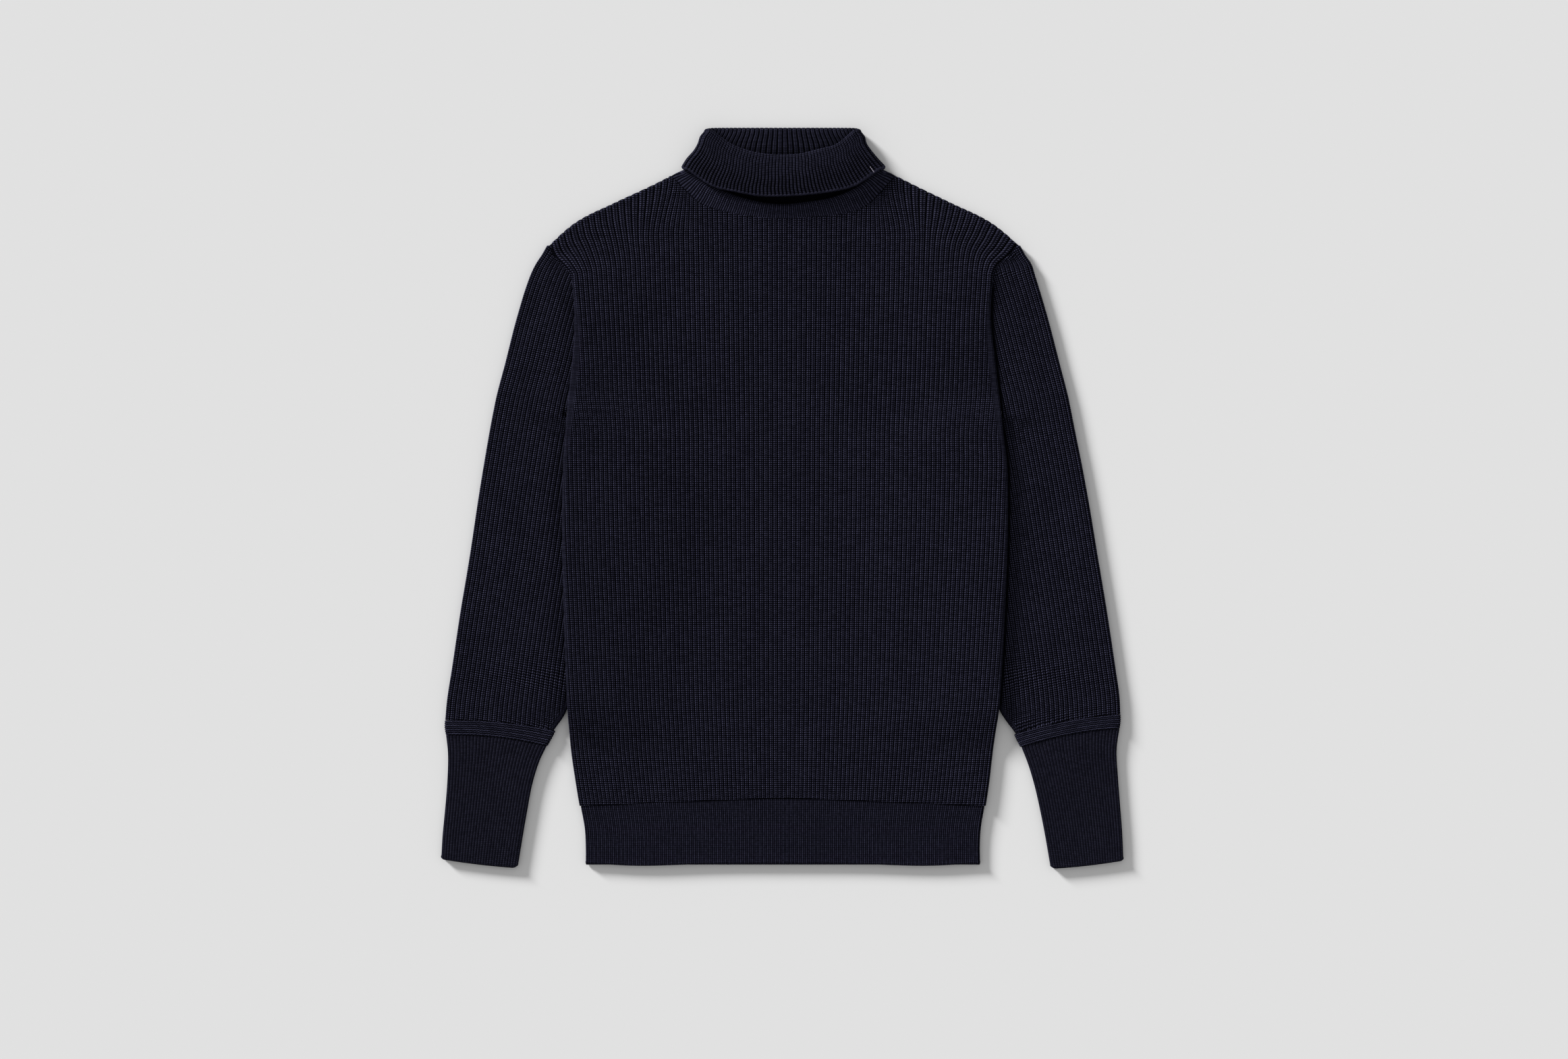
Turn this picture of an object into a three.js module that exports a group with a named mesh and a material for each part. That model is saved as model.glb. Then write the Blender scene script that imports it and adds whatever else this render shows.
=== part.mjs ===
// A ribbed roll-neck sweater laid flat on its back, face up, with the sleeves folded down beside the body.
// Millimetres. +X is the wearer's left, +Y runs from hem to collar, +Z is up, and the cloth lies on z = 0.
// Each piece is one wall of cloth: a grid of points on the middle of the cloth, moved half its
// thickness to either side. Layers that lie on each other are AIR apart, and joined edges SEAM apart.
import * as THREE from "three";

// Cloth
const RIB = 3; // thickness of one layer of the main rib
const FINE = 2.6; // thickness of one layer of the tight rib of the hem and the cuffs
const AIR = 0.6; // between two layers that lie on each other
const SEAM = 0.3; // between two pieces that are joined edge to edge

// Levels above the table
const BACK_LEVEL = RIB / 2; // middle of the lower layer
const FRONT_LEVEL = RIB * 1.5 + AIR; // middle of the upper layer
const OVER_SLEEVE = 2 * RIB + 2 * AIR; // what lies on a flat sleeve is raised by this
const OVER_EDGE = RIB + AIR - 0.2; // the front's armhole edge is raised by this, over one layer of the sleeve
const RAMP = 24; // length of the slope down beside what lies beneath
const CREASE_DROP = 1.6; // how quickly that edge comes down along the armhole seam
const SHOULDER_INSET = 1.2; // the shoulders slope, so their curl is this much longer along +Y
const NECK_INSET = 0.6; // at the neck the same rows lie closer to the edge
const POINT_HEIGHT = 0.4; // the corner at the shoulder point doesn't curl over fully

// Body
const HEM_SEAM_RISE = 9; // the seam of the hem rib is this much higher in the middle
const HEM_BOTTOM = -384; // lower edge of the front's rib in the middle
const HEM_DIP = 2.4; // and how much lower it dips towards either side
const BACK_HEM_SHOWS = 1.4; // the back's rib shows this much below the front's
const BACK_NECK = 335; // y of the back's neck edge in the middle
const BACK_NECK_RISE = 4; // and how much higher it is at the shoulders

// The body from hem seam to armhole. right and left: half width on either side of the centre line.
// back and front: how far the edge of each panel is raised. curl: 1 where front and back are joined
// at a rounded side, 0 along the armhole, where the back's edge is joined to the sleeve.
const BODY = table("y right left back front curl", [
  [-324, 213.5, 214.3, 0, 0, 1],
  [-300, 217.4, 217.8, 0, 0, 1],
  [-264, 222.6, 222.0, 0, 0, 1],
  [-242, 224.3, 225.0, 4, 4, 1],
  [-223, 226.0, 228.0, OVER_SLEEVE, OVER_SLEEVE, 1],
  [-180, 228.0, 231.3, OVER_SLEEVE, OVER_SLEEVE, 1],
  [-120, 230.0, 234.5, OVER_SLEEVE, OVER_SLEEVE, 1],
  [-60, 231.5, 236.8, OVER_SLEEVE, OVER_SLEEVE, 1],
  [0, 231.5, 237.6, OVER_SLEEVE, OVER_SLEEVE, 1],
  [40, 230.5, 236.4, OVER_SLEEVE, OVER_SLEEVE, 1],
  [66, 228.6, 233.0, OVER_SLEEVE, OVER_SLEEVE, 1],
  [85, 227.3, 231.2, OVER_SLEEVE, OVER_SLEEVE, 1],
  [96, 226.5, 230.0, OVER_SLEEVE / 2, (OVER_SLEEVE + OVER_EDGE) / 2, 0.5],
  [107, 225.6, 228.8, 0, OVER_EDGE, 0],
  [140, 221.7, 225.0, 0, OVER_EDGE, 0],
  [190, 219.0, 219.8, 0, OVER_EDGE, 0],
  [235, 221.6, 221.6, 0, OVER_EDGE, 0],
]);

// The hem rib, at a share of the way from its seam to its lower edge.
const HEM_RIB = table("share right left", [
  [0, 212.3, 213.0],
  [0.4, 208.0, 209.0],
  [0.75, 207.0, 208.0],
  [1, 207.0, 208.3],
]);

// The armhole seam from the end of that table up to the shoulder point.
const CREASE = table("y right left", [
  [235, 221.6, 221.6],
  [246, 231.0, 226.6],
  [256, 240.5, 238.5],
  [267, 245.0, 249.0],
]);

// The fold of the shoulder, from the shoulder point to the neck point.
const SHOULDER = table("y right left", [
  [267, 245.0, 249.0],
  [290, 217.6, 219.7],
  [311, 176.0, 177.0],
  [329, 137.0, 139.5],
  [339, 117.0, 119.6],
]);

// The sleeve: outer fold on either side, and how far its inner fold reaches in under the body's edge.
const SLEEVE = table("y right left under curl", [
  [235, 265.0, 266.0, -SEAM, 0],
  [190, 279.5, 279.5, 3, 0],
  [140, 292.3, 292.5, 3, 0],
  [107, 301.0, 301.0, 3, 0],
  [96, 303.3, 303.3, 1.4, 0.5],
  [85, 305.5, 305.5, -SEAM, 1],
  [66, 309.0, 309.2, 30, 1],
  [40, 313.5, 314.5, 52, 1],
  [0, 320.0, 322.0, 54, 1],
  [-60, 329.0, 332.0, 41, 1],
  [-120, 339.0, 342.0, 26, 1],
  [-180, 348.0, 351.0, 12, 1],
]);

// The head of the sleeve, beside the armhole seam.
const SLEEVE_HEAD = table("y right left", [
  [256, 253.0, 255.6],
  [246, 259.6, 262.4],
]);

// Lines across a sleeve's end: the ends of each line on the outer and the inner fold, and its bow.
const LINES = "outX outY inX inY bow";
const SLEEVE_END = {
  right: table(LINES, [[353.0, -212, 226.0, -223, 2]]),
  left: table(LINES, [[355.0, -208, 228.0, -223, 2]]),
};
const BAND = {
  right: table(LINES, [
    [355.0, -234.0, 240.0, -245, 3.5],
    [355.2, -241.5, 244.0, -253, 3.8],
    [354.0, -249.0, 248.5, -261, 4],
  ]),
  left: table(LINES, [
    [356.0, -227.5, 245.5, -249.0, 4],
    [356.0, -234.7, 248.5, -255.5, 3.8],
    [355.0, -242.0, 252.0, -262.0, 3.5],
  ]),
};
// The cuffs, from below the line that each shares with its wrist band.
const CUFF = {
  right: table(LINES, [
    [352.0, -268.0, 256.0, -277, 3],
    [352.5, -296.0, 263.5, -301, 1.5],
    [355.0, -328.0, 269.3, -331, 0],
    [357.6, -355.0, 274.0, -358, -1.5],
    [359.0, -380.0, 279.0, -389.5, -2.2],
  ]),
  left: table(LINES, [
    [352.0, -264.0, 259.0, -280, 2.5],
    [353.5, -296.0, 266.5, -305, 1],
    [356.0, -328.0, 273.0, -334, 0],
    [358.0, -355.0, 278.0, -360, -1],
    [359.0, -381.5, 283.0, -390.3, 0],
  ]),
};

// The lines round the front of the neck, at t of the way from the middle to either end: the seam of
// the neck band, the band's crest, the free edge of the turned-down collar, and the collar's fold.
const NECK = table("t seam crest edge fold", [
  [-1, 339.0, 345.0, 351.0, 388.5],
  [-0.75, 311.0, 328.5, 330.5, 374.0],
  [-0.5, 301.0, 318.0, 323.0, 366.0],
  [-0.25, 296.0, 310.5, 319.0, 362.0],
  [0, 294.7, 308.0, 318.2, 361.0],
  [0.25, 296.0, 311.0, 320.7, 362.3],
  [0.5, 298.5, 315.5, 325.3, 367.0],
  [0.75, 308.5, 326.5, 332.8, 372.5],
  [1, 339.0, 345.0, 350.0, 388.0],
]);
const NECK_CENTRE = 1.2; // x of the middle of the neck
const NECK_HALF = 118.3; // half width of the neck band's seam
const CREST_HALF = 101; // half width of its crest, to the middle of the fold
const BASE_HALF = 99; // and of its inner edge, where the collar begins
const EDGE_HALF = 107; // outside half widths of the turned-down collar: at its free edge,
const ROLL_HALF = 91; // half way up,
const FOLD_HALF = 83; // and at its fold
const BACK_FOLD = 390; // the back of the collar's fold
const BACK_EDGE = 351; // the back of its free edge, against the table
const BACK_BASE = 348; // where the back of the collar is joined to the neck band
const COLLAR_LEVEL = FRONT_LEVEL + BACK_LEVEL + AIR / 2; // the plane midway through the flat collar
const STAND_RADIUS = (RIB + AIR) / 2; // the standing layer lies this far from that plane
const ROLL_RADIUS = (RIB + AIR) * 1.5; // and the turned-down layer this far
const CREST_LEVEL = 8.2; // middle of the neck band's front at its crest
const EDGE_LIFT = 0.6; // the free edge stands off by this in the middle of the front

const YARN = { main: 0x1b1b26, fine: 0x1a1a24 };

// Tables and small helpers

function table(columns, rows) {
  const names = columns.split(" ");
  return rows.map((row) => Object.fromEntries(names.map((name, i) => [name, row[i]])));
}

const mix = (a, b, t) => a + (b - a) * t;
const clamp = (x, low, high) => Math.min(high, Math.max(low, x));
const radians = THREE.MathUtils.degToRad;

// The value of one column where another column is key, with straight lines between the rows.
function at(rows, column, key, by = "y") {
  const rising = rows[0][by] < rows[rows.length - 1][by];
  const sorted = rising ? rows : [...rows].reverse();
  const next = sorted.findIndex((row) => row[by] >= key);
  if (next === 0) return sorted[0][column];
  if (next < 0) return sorted[sorted.length - 1][column];
  const [a, b] = [sorted[next - 1], sorted[next]];
  return mix(a[column], b[column], (key - a[by]) / (b[by] - a[by]));
}

// A wall of cloth from the grid of points on its middle. round: the last column meets the first.
// square: which rims stand upright where the cloth curls over, so that they face the piece joined there.
function cloth(name, grid, thickness, color, { round = false, square = () => false } = {}) {
  const rows = grid.length;
  const columns = grid[0].length;
  const column = (i) => (round ? (i + columns) % columns : clamp(i, 0, columns - 1));
  const points = [];
  for (const half of [thickness / 2, -thickness / 2]) {
    for (let j = 0; j < rows; j++) {
      for (let i = 0; i < columns; i++) {
        const [before, after] = [grid[clamp(j - 1, 0, rows - 1)][i], grid[clamp(j + 1, 0, rows - 1)][i]];
        const along = after.clone().sub(before);
        const across = grid[j][column(i + 1)].clone().sub(grid[j][column(i - 1)]);
        const normal = across.cross(along).normalize();
        if (square(j, i, rows, columns) && Math.abs(normal.z) < CURLED) normal.setZ(0).normalize();
        points.push(grid[j][i].clone().addScaledVector(normal, half));
      }
    }
  }
  const outer = (j, i) => j * columns + column(i);
  const inner = (j, i) => (rows + j) * columns + column(i);
  const faces = [];
  const quad = (a, b, c, d) => faces.push(a, b, c, a, c, d);
  const cells = round ? columns : columns - 1;
  for (let i = 0; i < cells; i++) {
    for (let j = 0; j < rows - 1; j++) {
      quad(outer(j, i), outer(j, i + 1), outer(j + 1, i + 1), outer(j + 1, i));
      quad(inner(j, i), inner(j + 1, i), inner(j + 1, i + 1), inner(j, i + 1));
    }
    quad(inner(0, i), inner(0, i + 1), outer(0, i + 1), outer(0, i));
    quad(inner(rows - 1, i), outer(rows - 1, i), outer(rows - 1, i + 1), inner(rows - 1, i + 1));
  }
  for (let j = 0; j < rows - 1 && !round; j++) {
    quad(outer(j, 0), outer(j + 1, 0), inner(j + 1, 0), inner(j, 0));
    quad(inner(j, cells), inner(j + 1, cells), outer(j + 1, cells), outer(j, cells));
  }
  const geometry = new THREE.BufferGeometry().setFromPoints(points);
  geometry.setIndex(facingOut(points, faces));
  geometry.computeVertexNormals();
  const yarn = new THREE.MeshStandardMaterial({ color, roughness: 0.95, metalness: 0 });
  const mesh = new THREE.Mesh(geometry, yarn);
  mesh.name = name;
  return mesh;
}

// The faces, turned round if they look inwards.
function facingOut(points, faces) {
  let volume = 0;
  for (let k = 0; k < faces.length; k += 3) {
    const [a, b, c] = [points[faces[k]], points[faces[k + 1]], points[faces[k + 2]]];
    volume += a.dot(b.clone().cross(c));
  }
  return volume > 0 ? faces : faces.reverse();
}

const EDGE_ANGLES = [0, 45, 90];

// The rounded edge of a layer, from its rim to where it lies flat: distance in from the outline, and
// height as a share of the way from the plane between the layers. A curl of 0 leaves the edge flat.
function edgeStations(thickness, curl) {
  const radius = (thickness + AIR) / 2;
  return EDGE_ANGLES.map((angle) => {
    const flat = (radius + thickness / 2) * (angle / 90);
    const curled = thickness / 2 + radius * (1 - Math.cos(radians(angle)));
    return { inset: mix(flat, curled, curl), height: mix(1, Math.sin(radians(angle)), curl) };
  });
}

const CURLED = 0.85; // cloth steeper than this, as the height of its normal, curls over
const sideRims = (j, i, rows, columns) => i === 0 || i === columns - 1;
const sideAndTopRims = (j, i, rows, columns) => sideRims(j, i, rows, columns) || j === rows - 1;

const SIDES = [
  { name: "right", sign: -1 },
  { name: "left", sign: 1 },
];

// Body

// Height of the middle of a layer: up is 1 for the front and -1 for the back.
function layerHeight(up, thickness, share) {
  const plane = thickness + AIR / 2;
  return plane + up * mix(SEAM / 2, (thickness + AIR) / 2, share);
}

// The stations across half a panel, from the side edge to the centre line: x, the share of the full
// height at the rounded edge, and how much of the edge's lift is left.
const INSIDE = [1, 0.75, 0.555, 0.42, 0.28, 0.14]; // of the foot of the slope; 0.555 is the neck point
function halfAcross(edge, { under, rim, curl }, thickness) {
  const top = Math.max(under, RIB + AIR / 2) + 1.4 * RIB;
  const foot = edge - top - RAMP;
  const curled = edgeStations(thickness, curl);
  const stations = curled.map((s) => ({ x: edge - rim - s.inset, share: s.height, lift: 1 }));
  stations.push({ x: edge - top, share: 1, lift: 1 });
  return stations.concat(INSIDE.map((f) => ({ x: foot * f, share: 1, lift: 0 })));
}

// One row of points across a panel. placeY gives y at t of the way from the middle to either edge, and
// shape holds the row's half widths, how far the rim lies inside them, how far what lies beneath reaches
// in, and the edge's curl and lift.
function panelRow(up, thickness, shape, placeY) {
  const halves = SIDES.map(({ name, sign }) => {
    const stations = halfAcross(shape[name], shape, thickness);
    return stations.map((s) => {
      const z = layerHeight(up, thickness, s.share) + shape.lift * s.lift;
      return new THREE.Vector3(sign * s.x, placeY(s.x / shape[name]), z);
    });
  });
  const centre = new THREE.Vector3(0, placeY(0), layerHeight(up, thickness, 1));
  return [...halves[0], centre, ...halves[1].reverse()];
}

// The seam of the hem rib: two nearly straight halves that meet in a rounded peak.
function hemSeam(t) {
  return BODY[0].y + HEM_SEAM_RISE * (1 - Math.hypot(t, 0.1));
}

const neckLine = (column) => (t) => at(NECK, column, t, "t");
const backNeck = (t) => BACK_NECK + BACK_NECK_RISE * t * t;

// The upper edge of a panel at x: the neck between the neck points, the shoulder fold outside them.
function panelTop(up, x) {
  const shoulder = x < 0 ? "right" : "left";
  const t = (x - NECK_CENTRE) / NECK_HALF;
  if (Math.abs(t) < 1) {
    return up > 0 ? neckLine("seam")(t) : backNeck(t);
  }
  return at(SHOULDER, "y", Math.abs(x), shoulder);
}

// The front (up = 1) or the back (up = -1).
function bodyPanel(name, up) {
  const grid = [];
  for (const row of BODY) {
    const reach = at(SLEEVE, "under", row.y);
    const joinedToSleeve = up < 0 && row.curl < 1;
    const shape = {
      right: row.right,
      left: row.left,
      rim: joinedToSleeve ? reach + SEAM : 0,
      under: row.y < SLEEVE[SLEEVE.length - 1].y - 1 ? 0 : reach,
      curl: up > 0 ? 1 : row.curl,
      lift: up > 0 ? row.front : row.back,
    };
    grid.push(panelRow(up, RIB, shape, (t) => (row === BODY[0] ? hemSeam(t) + SEAM / 2 : row.y)));
  }
  grid.push(...fanRows(up, grid[grid.length - 1]));
  return cloth(name, grid, RIB, YARN.main, { square: sideAndTopRims });
}

// Above the armhole the columns fan out to the neck and the shoulders. Along the armhole seam they follow
// CREASE, at the neck they end flat, and along the shoulders front and back curl over to each other.
function fanRows(up, start) {
  const from = BODY[BODY.length - 1];
  const to = CREASE[CREASE.length - 1];
  const end = panelRow(up, RIB, { ...to, rim: 0, under: 0, curl: up > 0 ? 1 : 0, lift: 0 }, () => 0);
  const plane = layerHeight(up, RIB, 0);
  const row = (share, { inset, height }, lift) =>
    start.map((first, i) => {
      const x = end[i].x;
      const side = x < 0 ? "right" : "left";
      const atNeck = Math.abs(x - NECK_CENTRE) < NECK_HALF;
      const straight = mix(from[side], to[side], share);
      const bulge = at(CREASE, side, mix(from.y, to.y, share)) - straight;
      const nearEdge = Math.abs(x / to[side]) ** 4;
      const level = end[i].z + (first.z - end[i].z) * lift;
      const atPoint = Math.min(i, start.length - 1 - i) < EDGE_ANGLES.length;
      const curled = mix(plane, level, atPoint ? Math.max(height, POINT_HEIGHT) : height);
      return new THREE.Vector3(
        mix(first.x, x, share) + Math.sign(x) * bulge * nearEdge,
        mix(first.y, panelTop(up, x) - inset * (atNeck ? NECK_INSET : SHOULDER_INSET), share),
        atNeck ? level : curled,
      );
    });
  const beside = CREASE.slice(1, -1).map(({ y }) => {
    const share = (y - from.y) / (to.y - from.y);
    return row(share, { inset: 0, height: 1 }, Math.max(0, 1 - share * CREASE_DROP));
  });
  return [...beside, ...edgeStations(RIB, 1).reverse().map((station) => row(1, station, 0))];
}

// The tight rib along the hem.
function hemRib(name, up) {
  const bottom = (t) => HEM_BOTTOM - (up > 0 ? HEM_DIP * Math.sin(Math.PI * t * t) ** 2 : BACK_HEM_SHOWS);
  const rows = HEM_RIB.map(({ share, right, left }) => {
    const shape = { right, left, rim: 0, under: 0, curl: 1, lift: 0 };
    return panelRow(up, FINE, shape, (t) => mix(hemSeam(t) - SEAM / 2, bottom(t), share));
  });
  return cloth(name, rows, FINE, YARN.fine, { square: sideRims });
}

// Sleeves: a sheet folded over at the outside and joined to itself along the inner fold

const FOLD_ANGLES = [-90, -50, -17, 17, 50, 90];
const FLAT_RUN = [0.25, 0.5, 0.75];

// One line of points round a flat tube, from the join, along the lower layer, round the outer fold
// and back along the upper layer. line: its two ends, its bow, and the curl of the joined edges.
function tubeLine(sign, line, thickness) {
  const radius = (thickness + AIR) / 2;
  const plane = thickness + AIR / 2;
  const reach = radius + thickness / 2;
  const edges = edgeStations(thickness, line.curl ?? 1);
  const lower = edges.map((s) => [line.inX + s.inset, layerHeight(-1, thickness, s.height)]);
  const run = (level) => (f) => [mix(line.inX + reach, line.outX - reach, f), level];
  const fold = FOLD_ANGLES.map((angle) => [
    line.outX - reach + radius * Math.cos(radians(angle)),
    plane + radius * Math.sin(radians(angle)),
  ]);
  const upper = edges.map((s) => [line.inX + s.inset, layerHeight(1, thickness, s.height)]);
  const section = [
    ...lower,
    ...FLAT_RUN.map(run(plane - radius)),
    ...fold,
    ...FLAT_RUN.map(run(plane + radius)).reverse(),
    ...upper.reverse(),
  ];
  return section.map(([x, z]) => {
    const f = clamp((x - line.inX) / (line.outX - line.inX), 0, 1);
    const y = mix(line.inY, line.outY, f) + line.bow * 4 * f * (1 - f);
    return new THREE.Vector3(sign * x, y + (line.shift ?? 0), z);
  });
}

function sleeveLines(side) {
  const head = SLEEVE_HEAD.map((row) => ({
    outX: row[side], outY: row.y, inX: at(CREASE, side, row.y) + 2 * SEAM, inY: row.y, bow: 0, curl: 0,
  }));
  const arm = SLEEVE.map((row) => ({
    outX: row[side], outY: row.y, inX: at(BODY, side, row.y) - row.under, inY: row.y, bow: 0, curl: row.curl,
  }));
  const end = { ...BAND[side][0], shift: SEAM / 2 };
  return [...head, ...arm, ...SLEEVE_END[side], end];
}

// Lines that start and end half a seam inside their piece.
function trimmed(lines) {
  const inside = lines.map((line) => ({ ...line }));
  inside[0].shift = -SEAM / 2;
  inside[inside.length - 1].shift = SEAM / 2;
  return inside;
}

function flatTube(name, sign, lines, thickness, color) {
  const grid = lines.map((line) => tubeLine(sign, line, thickness));
  return cloth(name, grid, thickness, color, { square: sideRims });
}

// Neck

const ACROSS = [-1, -0.88, -0.75, -0.5, -0.25, 0, 0.25, 0.5, 0.75, 0.88, 1];
const SIDE_ANGLES = [54, 18, -18, -54];

// One ring round the flat neck: the front from right to left, the left fold, the back, the right fold.
// frontY, backY, frontZ and backZ are functions of t, and half is the half width between the folds.
function neckRing({ half, frontY, backY, frontZ, backZ }) {
  const front = ACROSS.map((t) => new THREE.Vector3(NECK_CENTRE + half * t, frontY(t), frontZ(t)));
  const back = ACROSS.map((t) => new THREE.Vector3(NECK_CENTRE + half * t, backY(t), backZ(t))).reverse();
  const fold = (t) =>
    SIDE_ANGLES.map((angle) => {
      const radius = (frontZ(t) - backZ(t)) / 2;
      const share = (1 - Math.sin(radians(angle))) / 2;
      return new THREE.Vector3(
        NECK_CENTRE + t * (half + radius * Math.cos(radians(angle))),
        mix(frontY(t), backY(t), share),
        (frontZ(t) + backZ(t)) / 2 + radius * Math.sin(radians(angle)),
      );
    });
  return [...front, ...fold(1), ...back, ...fold(-1).reverse()];
}

const standTop = COLLAR_LEVEL + STAND_RADIUS;
const standUnder = COLLAR_LEVEL - STAND_RADIUS;
const baseY = (t) => neckLine("crest")(t) + 3;
const baseZ = (t) => mix(FRONT_LEVEL, standTop, t * t);
const STAND_HALF = FOLD_HALF - ROLL_RADIUS - RIB / 2;

const baseRing = (past) => ({
  half: BASE_HALF,
  frontY: (t) => baseY(t) + past,
  frontZ: baseZ,
  backY: () => BACK_BASE + past,
  backZ: () => standUnder,
});

// A piece that goes round the neck, through its rings.
function neckPiece(name, rings) {
  return cloth(name, rings.map(neckRing), RIB, YARN.main, { round: true });
}

// The neck band rises from its seam to a crest and dips behind it to the foot of the collar.
function neckBand() {
  const seam = {
    half: NECK_HALF - RIB - AIR / 2,
    frontY: (t) => neckLine("seam")(t) + 2 * SEAM,
    frontZ: () => FRONT_LEVEL,
    backY: (t) => backNeck(t) + 2 * SEAM,
    backZ: () => BACK_LEVEL,
  };
  const slope = {
    half: mix(seam.half, CREST_HALF, 0.5),
    frontY: (t) => mix(neckLine("seam")(t), neckLine("crest")(t), 0.32),
    frontZ: () => FRONT_LEVEL + 1,
    backY: () => mix(BACK_NECK + BACK_NECK_RISE, BACK_BASE, 0.3),
    backZ: () => BACK_LEVEL + 1,
  };
  const crest = {
    half: CREST_HALF,
    frontY: (t) => neckLine("crest")(t) - 2,
    frontZ: () => CREST_LEVEL,
    backY: () => mix(BACK_NECK + BACK_NECK_RISE, BACK_BASE, 0.65),
    backZ: () => BACK_LEVEL + 2.4,
  };
  return neckPiece("neck_band", [seam, slope, crest, baseRing(-1.6), baseRing(-SEAM)]);
}

// The roll collar stands up from the neck band, folds outwards and hangs down again to its free edge.
function collar() {
  const rings = [baseRing(0), baseRing(1.5)];
  for (const share of [0.25, 0.6]) {
    rings.push({
      half: mix(BASE_HALF, STAND_HALF, share),
      frontY: (t) => mix(baseY(t), neckLine("fold")(t), share),
      frontZ: (t) => mix(baseZ(t), standTop, Math.min(1, share * 2.4 * (1 + t * t))),
      backY: () => mix(BACK_BASE, BACK_FOLD, share),
      backZ: () => standUnder,
    });
  }
  for (const angle of [-90, -45, 0, 45, 90]) {
    const radius = (STAND_RADIUS + ROLL_RADIUS) / 2 + STAND_RADIUS * Math.sin(radians(angle));
    const inset = RIB / 2 + STAND_RADIUS * (1 - Math.cos(radians(angle)));
    rings.push({
      half: STAND_HALF,
      frontY: (t) => neckLine("fold")(t) - inset,
      frontZ: () => COLLAR_LEVEL + radius,
      backY: () => BACK_FOLD - inset,
      backZ: () => COLLAR_LEVEL - radius,
    });
  }
  for (const [share, outside] of [[0.5, ROLL_HALF], [1, EDGE_HALF]]) {
    rings.push({
      half: outside - ROLL_RADIUS - RIB / 2,
      frontY: (t) => mix(neckLine("fold")(t), neckLine("edge")(t), share),
      frontZ: (t) => COLLAR_LEVEL + ROLL_RADIUS + (share === 1 ? EDGE_LIFT * (1 - t * t) : 0),
      backY: () => mix(BACK_FOLD, BACK_EDGE, share),
      backZ: () => COLLAR_LEVEL - ROLL_RADIUS,
    });
  }
  return neckPiece("collar", rings);
}

// The sweater

const sweater = new THREE.Group();
sweater.add(bodyPanel("front", 1), bodyPanel("back", -1));
sweater.add(hemRib("hem_rib_front", 1), hemRib("hem_rib_back", -1));
for (const { name, sign } of SIDES) {
  sweater.add(flatTube(`sleeve_${name}`, sign, sleeveLines(name), RIB, YARN.main));
  sweater.add(flatTube(`wrist_band_${name}`, sign, trimmed(BAND[name]), RIB, YARN.main));
  const cuff = [...BAND[name].slice(-1), ...CUFF[name]];
  sweater.add(flatTube(`cuff_${name}`, sign, trimmed(cuff), FINE, YARN.fine));
}
sweater.add(neckBand(), collar());

export default sweater;
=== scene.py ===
"""A navy ribbed roll-neck sweater, laid flat on its back with the sleeves folded down beside the body.
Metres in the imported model's frame: +X is the wearer's left, +Y runs from hem to collar, +Z is up."""

import math

import bpy
import numpy as np
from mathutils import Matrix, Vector


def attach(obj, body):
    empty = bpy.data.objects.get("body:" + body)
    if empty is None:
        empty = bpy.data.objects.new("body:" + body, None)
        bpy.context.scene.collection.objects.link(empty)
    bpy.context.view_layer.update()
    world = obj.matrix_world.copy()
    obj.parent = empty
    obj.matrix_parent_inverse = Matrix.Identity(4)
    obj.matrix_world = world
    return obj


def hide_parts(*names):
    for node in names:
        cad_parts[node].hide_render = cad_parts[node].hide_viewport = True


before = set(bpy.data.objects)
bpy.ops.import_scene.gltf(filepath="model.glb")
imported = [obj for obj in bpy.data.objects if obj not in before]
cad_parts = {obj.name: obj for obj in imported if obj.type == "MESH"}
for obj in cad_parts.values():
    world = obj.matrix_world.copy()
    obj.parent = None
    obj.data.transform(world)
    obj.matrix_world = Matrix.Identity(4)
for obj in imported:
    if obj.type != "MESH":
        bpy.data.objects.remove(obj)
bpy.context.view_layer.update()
MM = 0.001  # sizes and places are written in millimetres, and meshes and shaders are in metres

# ---------------------------------------------------------------------------------------------------
# Front and back panels
# Two panels of worsted wool in a plump half cardigan rib, shaped on the machine, so the ribs that an
# armhole cuts off end in a plain edge. They meet in a rounded side seam, lie over the sleeves' inner
# folds below the arm and curl to each other at the shoulders.

RIB, AIR = 3.0, 0.6  # thickness of one layer of the main rib, and the air between two layers
LAYER = (RIB + AIR) / 2  # the middle of each layer lies this far from the plane between them
PLANE = RIB + AIR / 2  # height of that plane
COURSE = 2.2  # height of one course of stitches
YOKE = 235  # y above which the columns fan out to the shoulders
SEAM_GAP = 0.15  # how far each side stands off a seam between two kinds of knit

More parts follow.
